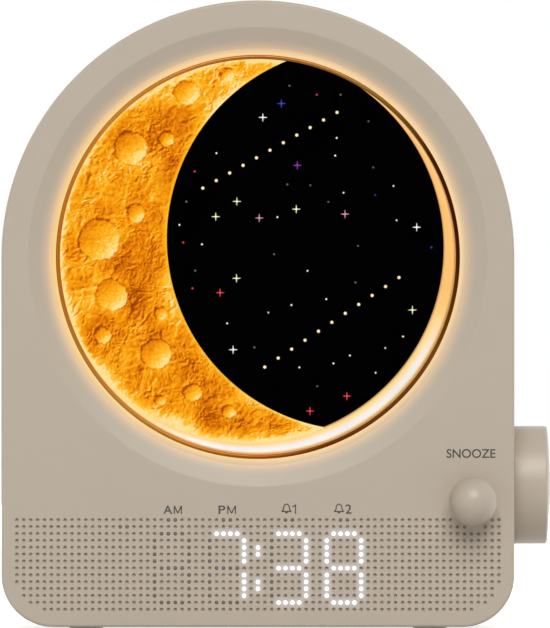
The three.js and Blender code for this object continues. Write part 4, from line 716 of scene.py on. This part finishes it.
def display_dots():
    """Every light of the display as (column, row), and whether it is lit."""
    lit = {(COLON_COLUMN, row): True for row in COLON_ROWS}
    for column in INDICATOR_COLUMNS:
        lit[column, 0] = lit[column + 1, 0] = False
    lit[SENSOR_COLUMN, SENSOR_ROW] = lit[SENSOR_COLUMN + 1, SENSOR_ROW] = False
    for column, digit in zip(DIGIT_COLUMNS, TIME):
        for segment, dots in glyph_dots(column).items():
            lit.update((dot, segment in GLYPHS[digit]) for dot in dots)
    return lit


def display_lights(lights):
    """The ends of the display's lights in their holes: domes when lit, sunk grey lenses with painted shade
    round their edges when not.
    """
    lit_dots, dark_dots = Surface(), Surface()
    for dot, lit in lights.items():
        place = along_depth(*dot_place(*dot))
        if lit:
            for loop in lit_dots.turned(LIT_DOME, DOT_STEPS, place):
                lit_dots.tint(loop, LIT_WHITE)
        else:
            for loop, colour in zip(dark_dots.turned(DARK_LENS, DOT_STEPS, place)[1:], UNLIT_TINTS_AND_PAINTED_SHADE):
                dark_dots.tint(loop, colour)
    piece("display_lit_dots", lit_dots, "opal_white", finish=LIT_DOT)
    piece("display_dark_dots", dark_dots, "display_film", finish=DARK_DOT)


def edge_distance(x, z):
    """How far a place on the lower front lies inside the housing's outline."""
    side = HALF_WIDTH - CORNER_RADIUS
    if abs(x) > side and z < CORNER_RADIUS:
        return CORNER_RADIUS - math.hypot(abs(x) - side, z - CORNER_RADIUS)
    return min(HALF_WIDTH - abs(x), z)


def dimple_places(lights):
    """The places of the perforated field that no light takes, clear of the edge and of the ball."""
    dots = [(column, row) for row in range(ROWS) for column in range(COLUMNS) if (column, row) not in lights]
    return [
        (x, z) for x, z in (dot_place(*dot) for dot in dots)
        if math.hypot(x - SNOOZE_X, z - SNOOZE_Z) >= BALL_CLEAR and edge_distance(x, z) >= EDGE_CLEAR
    ]


# Housing

def housing_skin(shell, section, wall, seam, way):
    """The housing's skin along a section, cut for the dial at its wall and seam loops; returns its ends."""
    loops = [shell.loop(housing_outline(inset), depth) for inset, depth in section]
    beside_dial = len(loops[0]) - 2
    for number, (first, second) in enumerate(zip(loops, loops[1:])):
        cut = {number, number + 1} <= {wall, *seam}
        shell.bridge(first, second, gap=beside_dial if cut else None)
    dial_groove(shell, loops[wall][-2:], [loops[number][-2:] for number in seam], way)
    return loops[0], loops[-1]


def dial_groove(shell, wall_ends, seam_ends, way):
    """A shell's part of the groove that the dial is pressed into; way is 1 at the back, -1 at the front."""
    below, above = seam_ends[0]
    seam = shell.points[below][1]
    reach = math.acos(way * (seam - DIAL_Y) / GROOVE_RADIUS)
    turns = np.linspace(-reach, reach, DIAL_STEPS // 2)
    across, up = way * GROOVE_RADIUS * np.cos(turns), GROOVE_RADIUS * np.sin(turns)
    edge, foot = (
        shell.add([(level, DIAL_Y + y, DIAL_Z + z) for y, z in zip(across, up)])
        for level in (HALF_WIDTH, HALF_WIDTH - GROOVE_DEPTH)
    )
    shell.cap([wall_ends[0], below, *edge, above, wall_ends[1]])
    shell.bridge(edge, foot, closed=False)
    shell.cap(foot)
    seam_face = [ends[1] for ends in seam_ends] + [ends[0] for ends in reversed(seam_ends)]
    shell.cap([edge[0], foot[0], foot[-1], edge[-1], *seam_face])


def lamp_dish(shell):
    """The dish and the lamp's tube, with a painted glow near the aperture; returns their loops."""
    dish = fillet(
        [(DISH_RADIUS + DISH_BORDER, 0), (DISH_RADIUS, 0), (APERTURE_RADIUS, DISH_DEPTH),
         (APERTURE_RADIUS, TUBE_BACK)],
        (DISH_ROUND, APERTURE_ROUND),
    )
    slope_end = ROUND_LOOPS + 1
    dish[slope_end:slope_end] = np.linspace(dish[slope_end - 1], dish[slope_end], DISH_STEPS)[1:-1]
    tube = APERTURE_RADIUS + WALL
    backing = (tube, TUBE_BACK), (tube, DISH_DEPTH + WALL), (DISH_RADIUS + WALL, WALL)
    loops = shell.turned([*dish, *backing], LAMP_STEPS, along_depth(0, LAMP_Z))
    # Painted glow: the dish near the aperture emits the halo's light as if it fell there, fading outwards.
    painted_glow = blend(LAMP_TURNS, PAINTED_DISH_GLOW, 360)
    for loop, (radius, _) in zip(loops[1:], dish[1:]):
        fade = np.clip((APERTURE_RADIUS + PAINTED_DISH_GLOW_REACH - radius) / PAINTED_DISH_GLOW_REACH, 0, 1)
        shell.tint(loop, painted_glow * fade ** PAINTED_DISH_GLOW_POWER)
    return loops


def snooze_guide(shell):
    """The recess under the ball and the guide of its stem; returns their loops."""
    way = STEM_RADIUS + FIT
    sunk = math.sqrt(BALL_RADIUS ** 2 - (BALL_RADIUS - BALL_TRAVEL) ** 2) + FIT
    recess = (sunk + RECESS_CHAMFER, 0), (sunk, RECESS_CHAMFER), (sunk, RECESS_DEPTH)
    guide = (way, RECESS_DEPTH + BALL_TRAVEL), (way, GUIDE_BACK), (way + GUIDE_WALL, GUIDE_BACK)
    profile = [*recess, *guide, (way + GUIDE_WALL, WALL)]
    return shell.turned(profile, BALL_STEPS, along_depth(SNOOZE_X, SNOOZE_Z))


def front_shell():
    shell = Surface()
    section = fillet(
        [(FRONT_ROUND, 0), (0, 0), (0, SEAM_FRONT), (WALL, SEAM_FRONT), (WALL, WALL)],
        (FRONT_ROUND - FRONT_FLAT, SEAM_ROUND, SEAM_ROUND),
    )
    seam_loops = range(ROUND_LOOPS + 1, 3 * ROUND_LOOPS + 1)
    rim, inside = housing_skin(shell, section, ROUND_LOOPS, seam_loops, -1)
    openings = [lamp_dish(shell), snooze_guide(shell)]
    lights = display_dots()
    dimples = [shell.turned(DIMPLE, DOT_STEPS, along_depth(x, z))[0] for x, z in dimple_places(lights)]
    light_holes = [shell.turned(LED_HOLE, DOT_STEPS, along_depth(*dot_place(*dot))) for dot in lights]
    openings += light_holes
    shell.plate(rim, [loops[0] for loops in openings] + dimples)
    shell.plate(inside, [loops[-1] for loops in openings])
    # Painted glow: points near the lit lights take emitted light that fades with distance from them.
    lit_x, lit_z = np.transpose([dot_place(*dot) for dot, lit in lights.items() if lit])
    for loop in dimples + [loop for loops in light_holes for loop in loops[:-1]]:
        for index in loop:
            x, _, z = shell.points[index]
            shell.colours[index] = PAINTED_DOT_GLOW * bell(0, GLOW_REACH, np.hypot(lit_x - x, lit_z - z)).sum()
    piece("front_shell", shell, "housing_plastic", "front_housing", finish=painted_glow_plastic())
    display_lights(lights)


def rear_shell():
    shell = Surface()
    seam, inner_back = SEAM_FRONT + SEAM_GAP, DEPTH - WALL
    lip, lip_front, lip_back = WALL + SEAM_GAP, SEAM_FRONT - LIP_REACH, seam + LIP_REACH
    lip_corners = 5
    section = fillet(
        [(WALL, inner_back), (WALL, lip_back), (lip + LIP_WALL, lip_back), (lip + LIP_WALL, lip_front),
         (lip, lip_front), (lip, seam), (0, seam), (0, DEPTH), (BACK_ROUND + BACK_FLAT, DEPTH)],
        (*[LIP_ROUND] * lip_corners, SEAM_ROUND, BACK_ROUND),
    )
    seam_inside = lip_corners * ROUND_LOOPS
    seam_outside = seam_inside + ROUND_LOOPS
    seam_loops = range(seam_outside, seam_inside - 1, -1)
    inside, back = housing_skin(shell, section, seam_outside + 1, seam_loops, 1)

    openings = []
    for number in range(SLOT_COUNT):
        rise = (number - (SLOT_COUNT - 1) / 2) * SLOT_PITCH
        reach = math.sqrt(SLOT_REACH ** 2 - rise ** 2) - SLOT_HALF
        line = -reach, reach, LAMP_Z + rise
        edge, slot = level_slot(*line, SLOT_HALF + SLOT_CHAMFER), level_slot(*line, SLOT_HALF)
        openings.append(shell.sleeve([(edge, DEPTH), (slot, DEPTH - SLOT_CHAMFER), (slot, inner_back)]))
    edge, inlet = (rounded_rectangle(*USB, USB_CORNER, FIT + more) for more in (USB_CHAMFER, 0))
    openings.append(shell.sleeve([(edge, DEPTH), (inlet, DEPTH - USB_CHAMFER), (inlet, inner_back)]))
    well_outside = WELL_RADIUS + WELL_WALL
    well = (
        (WELL_RADIUS + WELL_CHAMFER, DEPTH), (WELL_RADIUS, DEPTH - WELL_CHAMFER), (WELL_RADIUS, WELL_FLOOR),
        (SCREW_WAY, WELL_FLOOR), (SCREW_WAY, seam), (well_outside, seam), (well_outside, inner_back),
    )
    for number in CORNER_NUMBERS:
        x, _, z = clock_middle(f"case_screw_{number}")
        openings.append(shell.turned(well, BALL_STEPS, along_depth(x, z)))
    recess = rounded_rectangle(*DOOR, DOOR_CORNER, FIT)
    door_edge, door_seat = shell.sleeve([(recess, DEPTH), (recess, DEPTH - DOOR_SEAT)])
    shell.cap(door_seat)
    shell.plate(back, [door_edge] + [loops[0] for loops in openings])
    shell.plate(inside, [loops[-1] for loops in openings])
    piece("rear_shell", shell, "housing_plastic", "rear_housing")


# Lamp

def bezel():
    ring = Surface()
    wall, lip_back = BEZEL_RADIUS - BEZEL_WALL, LENS_FRONT - LENS_CLEAR
    profile = fillet(
        [(SEEN_RADIUS, lip_back), (SEEN_RADIUS, BEZEL_FRONT), (BEZEL_RADIUS, BEZEL_FRONT),
         (BEZEL_RADIUS, TUBE_BACK)],
        (BEZEL_ROUND, BEZEL_ROUND),
    )
    profile += [(wall, TUBE_BACK), (wall, lip_back)]
    loops = ring.turned(profile, LAMP_STEPS, along_depth(0, LAMP_Z), closed=True)
    # Painted light: the bronze is lighter and darker round the ring, with a painted highlight at its inner
    # edge.
    colours = blend(LAMP_TURNS, BRONZE_WITH_PAINTED_LIGHT, 360)
    for loop, (radius, _) in zip(loops, profile):
        shade = 1 + (BEZEL_PAINTED_HIGHLIGHT - 1) * smooth(SEEN_RADIUS + BEZEL_PAINTED_HIGHLIGHT_REACH, SEEN_RADIUS, radius)
        ring.tint(loop, np.minimum(colours * shade, 1))
    piece("bezel_ring", ring, "bezel_bronze", "lens_bezel")


def halo():
    """The light guide between the ring and the dish: its crest is bright and its slope fades to the dish."""
    ring = Surface()
    crest, foot = BEZEL_RADIUS + HALO_CREST, APERTURE_RADIUS + HALO_OVERLAP
    slope = np.linspace((crest, HALO_FRONT), (foot, DISH_DEPTH - HALO_LIFT), HALO_STEPS)
    back = (APERTURE_RADIUS - HALO_INSET, HALO_BACK), (BEZEL_RADIUS, HALO_BACK)
    profile = [(BEZEL_RADIUS, HALO_FRONT), *slope, *back]
    loops = ring.turned(profile, LAMP_STEPS, along_depth(0, LAMP_Z), closed=True)
    bright, faded = (blend(LAMP_TURNS, stops, 360) for stops in (HALO_TOP, HALO_FOOT))
    for loop, (radius, _) in zip(loops, profile):
        ring.tint(loop, bright + (faded - bright) * smooth(crest, APERTURE_RADIUS, radius))
    piece("halo_ring", ring, "halo_light", "halo_guide")


def lens():
    disc = Surface()
    profile = disc_profile(LENS_RADIUS, LENS_FRONT, LENS_BACK, (LENS_ROUND, LENS_ROUND))
    disc.turned(profile, LAMP_STEPS, along_depth(0, LAMP_Z))
    piece("lens_disc", disc, "clear_lens", "lens_cover")


def reach_inside(angles, x, z, radius):
    """How far a circle's edge lies from a place inside it, in each direction; x, z lead to its middle."""
    ahead = np.cos(angles) * x + np.sin(angles) * z
    aside = x ** 2 + z ** 2 - ahead ** 2
    return ahead + np.sqrt(np.maximum(radius ** 2 - aside, 0))


def picture_tips():
    """The directions from the picture's middle in which the sky's edge meets the picture's."""
    x, z = SKY_OFFSET
    apart = math.hypot(x, z)
    opening = math.acos((PICTURE_RADIUS ** 2 + apart ** 2 - SKY_RADIUS ** 2) / (2 * PICTURE_RADIUS * apart))
    middle = math.atan2(z, x)
    return middle + opening, middle - opening + 2 * math.pi


def value_noise(x, z, cell, seed):
    """Smooth noise from -1 to 1 with features of about a cell in size."""
    table = np.random.default_rng(seed).uniform(-1, 1, (NOISE_CELLS, NOISE_CELLS))
    column, row = np.floor(x / cell).astype(int), np.floor(z / cell).astype(int)
    across, up = smooth(0, 1, x / cell - column), smooth(0, 1, z / cell - row)

    def corner(right, above):
        return table[(column + right) % NOISE_CELLS, (row + above) % NOISE_CELLS]

    low = corner(0, 0) * (1 - across) + corner(1, 0) * across
    high = corner(0, 1) * (1 - across) + corner(1, 1) * across
    return low * (1 - up) + high * up


def noise_sum(x, z, layers):
    return sum(weight * value_noise(x, z, cell, seed) for cell, weight, seed in layers)


def pebble_noise(x, z, cell, seed):
    """Rounded lumps of about a cell in size, from 1 at their tops to 0 in the creases between them."""
    shift = np.random.default_rng(seed).uniform(0, 1, (2, NOISE_CELLS, NOISE_CELLS))
    column, row = np.floor(x / cell).astype(int), np.floor(z / cell).astype(int)
    nearest, second = np.full(x.shape, np.inf), np.full(x.shape, np.inf)
    for right in (-1, 0, 1):
        for above in (-1, 0, 1):
            key = (column + right) % NOISE_CELLS, (row + above) % NOISE_CELLS
            across = column + right + shift[0][key] - x / cell
            up = row + above + shift[1][key] - z / cell
            away = np.hypot(across, up)
            second = np.minimum(second, np.maximum(nearest, away))
            nearest = np.minimum(nearest, away)
    return smooth(0, PEBBLE_CREASE, second - nearest)


def moon_ground(x, z):
    """The rough ground between the craters: warped lumps on rolling wrinkles."""
    bend_x, bend_z = x + noise_sum(x, z, WARP_ACROSS), z + noise_sum(x, z, WARP_UP)
    ground = noise_sum(bend_x, bend_z, WRINKLES)
    for cell, weight, seed, patch_seed in PEBBLES:
        patch = smooth(*PEBBLE_PATCH, value_noise(x, z, PEBBLE_PATCH_CELL, patch_seed))
        ground += weight * patch * pebble_noise(bend_x, bend_z, cell, seed)
    return ground


def moon_surface(x, z):
    """The moon's relief, how far each place lies inside a crater, and the craters' own light and outlines."""
    height = moon_ground(x, z)
    floor, light = np.zeros_like(x), np.zeros_like(x)
    ragged = noise_sum(x, z, RAGGED)
    for degrees, share, radius in CRATERS:
        angle = np.radians(degrees)
        reach = PICTURE_RADIUS + (reach_inside(angle, *SKY_OFFSET, SKY_RADIUS) - PICTURE_RADIUS) * share
        across = x - PICTURE_X - reach * np.cos(angle)
        up = z - PICTURE_Z - reach * np.sin(angle)
        away = np.hypot(across, up) + ragged
        inside = 1 - smooth(*CRATER_EDGE, away - radius)
        lee = LEE * (across - up) / radius
        outline = bell(radius, OUTLINE_WIDTH, away) * smooth(*OUTLINE_LEE, lee)
        bank = bell(radius + BANK_OFFSET, BANK_WIDTH, away)
        bowl = CRATER_DEPTH * inside * (1 - CRATER_BOWL * (away / radius) ** 2)
        height = height * (1 - CRATER_SMOOTH * inside) - bowl + BANK_HEIGHT * bank
        light = light * (1 - inside) + inside * (CRATER_LIGHT + LEE_LIGHT * lee)
        light += BANK_LIGHT * bank - OUTLINE_SHADE * outline
        floor = np.maximum(floor, inside)
    return height, floor, light


def moon():
    angles = np.linspace(*picture_tips(), MOON_ALONG)[:, None]
    outer = PICTURE_RADIUS + TUCK
    inner = np.minimum(reach_inside(angles, *SKY_OFFSET, SKY_RADIUS) - TUCK, outer)
    radius = inner + (outer - inner) * np.linspace(0, 1, MOON_ACROSS)[None, :]
    x, z = PICTURE_X + radius * np.cos(angles), PICTURE_Z + radius * np.sin(angles)
    height, floor, light = moon_surface(x, z)
    ahead = moon_ground(x + LIGHT_STEP * LIGHT_WAY[0], z + LIGHT_STEP * LIGHT_WAY[1])
    slope = np.clip((ahead - moon_ground(x, z)) / LIGHT_STEP, -SLOPE_LIMIT, SLOPE_LIMIT)

    from_limb, from_sky = PICTURE_RADIUS - radius, radius - inner
    from_bezel = SEEN_RADIUS - np.hypot(x, z - LAMP_Z)
    turn = np.degrees(angles)
    calm = smooth(*CALM_BY_SKY, from_sky) * smooth(*CALM_BY_LIMB, from_limb)
    rough = calm * (1 - CALM_IN_CRATER * floor)
    shade = np.where(slope > 0, LIT_SLOPE, SHADED_SLOPE) * slope
    value = MOON_LEVEL + shade * (LEAST_SHADE + (1 - LEAST_SHADE) * rough) + light * calm
    value -= PATCH_SHADE * np.clip(noise_sum(x, z, PATCHES), *PATCH_LIMITS) * rough
    value += GRAIN_LIGHT * noise_sum(x, z, GRAIN) * calm
    away = {"limb": from_limb, "sky": from_sky, "bezel": from_bezel, "turn": turn}
    value += sum(weight * smooth(end, full, away[start]) for start, weight, end, full in MOON_GLOWS)
    value += HORN_GLOW * smooth(*HORN_REACH, from_sky) * bell(HORN_TURN, HORN_SPAN, turn)
    depth = PICTURE_DEPTH + MOON_BACK - RELIEF * np.clip(height, -RELIEF_LIMIT, RELIEF_LIMIT) * calm
    panel = relief(x, depth, z, blend(value, MOON_RAMP), PICTURE_BACK, closed=False)
    piece("moon_relief", panel, "moon_amber", "moon_panel", sharp=180)


def sky_outline(inset):
    start, end = picture_tips()
    first, last = math.degrees(end) - 360, math.degrees(start)
    limb = arc(PICTURE_X, PICTURE_Z, PICTURE_RADIUS - inset, first, last, LIMB_STEPS)
    low, high = np.degrees(np.arctan2(limb[[0, -1], 1] - SKY_Z, limb[[0, -1], 0] - SKY_X)) % 360
    return np.vstack((limb, arc(SKY_X, SKY_Z, SKY_RADIUS - inset, high, low, SKY_STEPS)[1:-1]))


def sky():
    panel = Surface()
    chamfer, outline = sky_outline(SKY_CHAMFER), sky_outline(0)
    panel.solid([(chamfer, PICTURE_DEPTH), (outline, PICTURE_DEPTH + SKY_CHAMFER), (outline, PICTURE_BACK)])
    piece("sky_disc", panel, "sky_black", "sky_panel")


def star_places(count, taken):
    """Seeded places inside the sky, apart from each other and from what is already there."""
    chance = np.random.default_rng(STAR_SEED)
    places = []
    while len(places) < count:
        x, z = (chance.uniform(*span) for span in STAR_FIELD)
        z += LAMP_Z
        in_sky = math.hypot(x - SKY_X, z - SKY_Z) < SKY_RADIUS - STAR_MARGIN
        in_picture = math.hypot(x - PICTURE_X, z - PICTURE_Z) < PICTURE_RADIUS - STAR_MARGIN
        apart = all(math.hypot(x - a, z - b) > STAR_SPACING for a, b in taken + places)
        if in_sky and in_picture and apart:
            places.append((x, z))
    return places


def stars():
    field = Surface()

    def draw(outline, place, colour):
        for loop in field.slab(outline + place, PICTURE_DEPTH - STAR_LIFT, PICTURE_DEPTH):
            field.tint(loop, srgb(*STAR_COLOURS[colour]))

    rows = [(x, LAMP_Z + z) for first, last, count in DOT_ROWS for x, z in np.linspace(first, last, count)]
    for place in rows:
        draw(circle(ROW_DOT_SIZE, DOT_STEPS), place, "warm")
    cross, dot = four_arms(STAR_ARM), circle(DOT_SIZE, DOT_STEPS)
    kinds = [(cross, colour) for colour, count in CROSS_KINDS for _ in range(count)]
    kinds += [(dot, colour) for colour, count in DOT_KINDS for _ in range(count)]
    for (outline, colour), place in zip(kinds, star_places(len(kinds), rows)):
        draw(outline, place, colour)
    piece("sky_stars", field, "sky_black", finish=STAR)


def rim():
    """The amber band round the picture, palest at its foot, where most of the lamp's light runs out of it and
    a painted highlight lies; painted shade darkens its edges by the bezel and by the sky.
    """
    angles = np.linspace(0, 2 * math.pi, LAMP_STEPS * 2 + 1)[:-1, None]
    inner = reach_inside(angles, PICTURE_X, PICTURE_Z - LAMP_Z, PICTURE_RADIUS)
    inner = np.minimum(inner, SEEN_RADIUS - RIM_LEAST)
    radius = inner - TUCK + (LENS_RADIUS - inner + TUCK) * np.linspace(0, 1, RIM_ACROSS)[None, :]
    share = (radius - inner) / (SEEN_RADIUS - inner)
    degrees = (np.degrees(angles) + 180) % 360 - 180
    shade = AMBER
    for colour, weight, turns, shares in RIM_LAYERS:
        cover = weight * soft_steps(turns, degrees) * soft_steps(shares, share)
        shade = shade + (colour - shade) * cover[..., None]
    bow = RIM_BOW * np.sin(np.pi * np.clip(share, 0, 1))
    depth = PICTURE_DEPTH + RIM_SET - RIM_RISE * share + bow
    x, z = radius * np.cos(angles), LAMP_Z + radius * np.sin(angles)
    band = relief(x, depth, z, shade, RIM_BACK, closed=True)
    piece("rim_band", band, "rim_amber", "rim_reflector", sharp=180)


# Controls

def snooze_ball():
    knob = Surface()
    neck = math.asin(STEM_RADIUS / BALL_RADIUS)
    turns = np.linspace(0, math.pi - neck, BALL_STEPS + 1)[1:]
    ball = np.column_stack((np.sin(turns), 1 - np.cos(turns))) * BALL_RADIUS + (0, BALL_FRONT)
    profile = [(0, BALL_FRONT), *ball, (STEM_RADIUS, STEM_BACK), (0, STEM_BACK)]
    knob.turned(profile, 2 * BALL_STEPS, along_depth(SNOOZE_X, SNOOZE_Z))
    piece("snooze_ball", knob, "knob_plastic", "snooze_knob", "snooze_button")


def dial():
    knob = Surface()
    left, right = DIAL_LOW[0], DIAL_HIGH[0]
    skirt, hollow = DIAL_RADIUS - SKIRT_WALL, left + SKIRT_DEPTH
    crown = [(DIAL_RADIUS * share, right - DIAL_CROWN * share ** 2) for share in CROWN_SHARES]
    side = fillet(
        [(skirt, hollow), (skirt, left), (DIAL_RADIUS, left), (DIAL_RADIUS, right - DIAL_CROWN), crown[0]],
        (SKIRT_ROUND, SKIRT_ROUND, DIAL_ROUND),
    )
    profile = [(0, hollow), *side, *crown[1:], (0, right)]
    knob.turned(profile, DIAL_STEPS, lambda across, up, along: (along, DIAL_Y + across, DIAL_Z + up))
    piece("dial_wheel", knob, "knob_plastic", "dial_knob", "dial")


# Back and underside

def screw_place():
    low, high = clock_face("battery_screw")
    x, z = (low + high) / 2
    return x, z, (high[1] - low[1]) / 2


def battery_cover():
    """The door, with a seat for its screw and a row of finger grooves."""
    door = Surface()
    low, high = DOOR
    section = fillet([(0, DOOR_FRONT), (0, DEPTH), (DOOR_ROUND + DOOR_FLAT, DEPTH)], (DOOR_ROUND,))
    sides = [(rounded_rectangle(low, high, DOOR_CORNER, -inset), depth) for inset, depth in section]
    loops = door.sleeve(sides)
    door.cap(loops[0])
    x, z, radius = screw_place()
    seat = (radius + FIT, DEPTH), (radius * SCREW_SEAT_SHARE, DEPTH - SCREW_SEAT_DEPTH)
    pockets = [door.turned(seat, BALL_STEPS, along_depth(x, z))]
    for number in range(GRIP_COUNT):
        line = low[0] + GRIP_SIDE, high[0] - GRIP_SIDE, high[1] - GRIP_TOP - GRIP_PITCH * number
        mouth, bed = level_slot(*line, GRIP_HALF), level_slot(*line, GRIP_BED_HALF)
        pockets.append(door.sleeve([(mouth, DEPTH), (bed, DEPTH - GRIP_DEPTH)]))
    for _, bottom in pockets:
        door.cap(bottom)
    door.plate(loops[-1], [mouth for mouth, _ in pockets])
    piece("battery_cover", door, "housing_plastic", "battery_door")


def battery_screw():
    """A countersunk head with a cross recess."""
    screw = Surface()
    x, z, radius = screw_place()
    top = DEPTH - SCREW_SUNK
    cone = (radius, top), (radius * SCREW_TIP_SHARE, DEPTH - SCREW_TIP_DEPTH)
    head, tip = screw.turned(cone, 4 * DOT_STEPS, along_depth(x, z))
    cross = radius * four_arms(CROSS_ARM, CROSS_START)
    edge, floor = screw.sleeve([(cross + (x, z), top), (cross * CROSS_TAPER + (x, z), DEPTH - CROSS_DEPTH)])
    screw.cap(tip)
    screw.cap(floor)
    screw.plate(head, [edge])
    piece("battery_screw_head", screw, "screw_steel", "battery_screw")


def power_inlet():
    """The socket's rounded metal shell and the tongue in it."""
    socket, tongue = Surface(), Surface()
    outer, inner = (rounded_rectangle(*USB, USB_CORNER, margin) for margin in (0, -USB_WALL))
    hollow = USB_BACK - USB_HOLLOW
    socket.solid([(outer, USB_FRONT), (outer, USB_BACK), (inner, USB_BACK), (inner, hollow)])
    piece("power_inlet", socket, "socket_metal", "usb_socket")
    reach = rounded_rectangle(USB_MIDDLE - TONGUE_HALF, USB_MIDDLE + TONGUE_HALF, TONGUE_ROUND)
    end = rounded_rectangle(USB_MIDDLE - TONGUE_END_HALF, USB_MIDDLE + TONGUE_END_HALF, TONGUE_END_ROUND)
    tip = USB_BACK - TONGUE_SUNK
    tongue.solid([(reach, hollow), (reach, tip - TONGUE_CHAMFER), (end, tip)])
    piece("power_inlet_tongue", tongue, "black_plastic")


def feet():
    for number in CORNER_NUMBERS:
        node = f"foot_{number}"
        low, high = clock_box(node)
        x, y, _ = clock_middle(node)
        foot = Surface()
        profile = disc_profile(high[0] - x, low[2], high[2], FOOT_ROUNDS)
        foot.turned(profile, 4 * DOT_STEPS, lambda across, up, along: (x + across, y + up, along))
        piece(f"rubber_foot_{number}", foot, "foot_rubber", node)


# Print

def letter_shapes(words):
    """The flat outline mesh of some words, as points and faces."""
    curve = bpy.data.curves.new("words", "FONT")
    curve.body = words
    curve.offset = PRINT_WEIGHT
    shown = show("words", curve)
    mesh = bpy.data.meshes.new_from_object(shown.evaluated_get(bpy.context.evaluated_depsgraph_get()))
    points = np.array([vertex.co[:2] for vertex in mesh.vertices])
    faces = [tuple(face.vertices) for face in mesh.polygons]
    bpy.data.objects.remove(shown)
    bpy.data.curves.remove(curve)
    bpy.data.meshes.remove(mesh)
    return points, faces


def stroke(surface, line, width):
    """A flat stroke of even width along a line of (x, z)."""
    line = np.array(line, float)
    course = np.gradient(line, axis=0)
    aside = np.column_stack((-course[:, 1], course[:, 0]))
    aside *= width / 2 / np.linalg.norm(aside, axis=1)[:, None]
    surface.slab(np.vstack((line + aside, (line - aside)[::-1])), PRINT_DEPTH, PRINT_BACK)


def printed_front():
    ink = Surface()
    for words, box in WORDS.items():
        points, faces = letter_shapes(words)
        low, high = points.min(0), points.max(0)
        start, size = photo_box(*box)
        ink.prism(start + (points - low) / (high - low) * size, faces, PRINT_DEPTH, PRINT_BACK)
    for box in BELLS:
        start, size = photo_box(*box)
        middle, scale = start + size / 2, size[0] / 2
        side = np.array(BELL_SIDE)
        body = np.vstack(((side * (-1, 1))[::-1], side[1:])) * scale + middle
        stroke(ink, body, BELL_STROKE * scale)
        stroke(ink, [body[0], body[-1]], BELL_STROKE * scale)
        mouth = middle[1] - CLAPPER_DROP * scale
        clapper = arc(middle[0], mouth, CLAPPER_RADIUS * scale, 180, 360, DOT_STEPS)
        ink.slab(clapper, PRINT_DEPTH, PRINT_BACK)
    for box in LETTERS_M:
        start, size = photo_box(*box)
        corners = start + M_CORNERS * size
        for ends in zip(corners, corners[1:]):
            stroke(ink, ends, LETTER_STROKE)
    for line in (ONE_STEM, ONE_FLAG):
        stroke(ink, [photo_place(*pixel) for pixel in line], LETTER_STROKE)
    piece("front_print", ink, "housing_plastic", finish=PRINT)


# Stage

def by_ray(tree, scattered, seen):
    """One value for scattered light, and one for what is seen, also in gloss and through clear stuff."""
    rays = tree.nodes.new("ShaderNodeLightPath").outputs
    share = rays["Is Camera Ray"]
    for kind in ("Is Glossy Ray", "Is Transmission Ray"):
        share = new_node(tree, "Math", {0: share, 1: rays[kind]}, "Value", operation="MAXIMUM")
    return between(tree, share, scattered, seen)


def world_light():
    world = bpy.data.worlds.new("studio")
    bpy.context.scene.world = world
    world.use_nodes = True
    tree = world.node_tree
    feed(tree, tree.nodes["Background"], {"Color": WHITE, "Strength": by_ray(tree, AMBIENT, 1)})


def floor():
    finish, tree, shader = principled("pale_floor")
    feed(tree, shader, {
        "Base Color": (FLOOR_GREY, FLOOR_GREY, FLOOR_GREY, 1),
        "Roughness": FLOOR_ROUGHNESS,
        "Emission Color": WHITE,
        "Emission Strength": by_ray(tree, 0, FLOOR_LIFT),
    })
    mesh = bpy.data.meshes.new("floor")
    corners = np.array([(-1, -1, 0), (1, -1, 0), (1, 1, 0), (-1, 1, 0)]) * FLOOR_REACH
    mesh.from_pydata(corners.tolist(), [], [(0, 1, 2, 3)])
    mesh.materials.append(finish)
    show("floor", mesh)


def lamp(name, place, size, power, glossy):
    light = bpy.data.lights.new(name, "AREA")
    light.size = size
    light.energy = power
    shown = show(name, light)
    shown.location = place
    middle = Vector(ORIGIN) + Vector((0, 0, HEIGHT / 2 * MM))
    shown.rotation_euler = (middle - Vector(place)).to_track_quat("-Z", "Y").to_euler()
    shown.visible_glossy = glossy


def camera():
    view = bpy.data.cameras.new("camera")
    view.sensor_width = SENSOR
    view.lens = SENSOR * CAMERA_DISTANCE / (PHOTO_HEIGHT * MM_PER_PIXEL * MM)
    shown = show("camera", view)
    across, up = photo_place((PHOTO_WIDTH - 1) / 2, (PHOTO_HEIGHT - 1) / 2) * MM
    shown.location = ORIGIN + np.array((across, -CAMERA_DISTANCE, up))
    shown.rotation_euler = (math.pi / 2, 0, 0)
    bpy.context.scene.camera = shown


dress_solids()
front_shell()
rear_shell()
bezel()
halo()
lens()
moon()
sky()
stars()
rim()
snooze_ball()
dial()
battery_cover()
battery_screw()
power_inlet()
feet()
printed_front()

bpy.context.scene.view_settings.view_transform = "Standard"
world_light()
floor()
for entry in LAMPS:
    lamp(*entry)
camera()
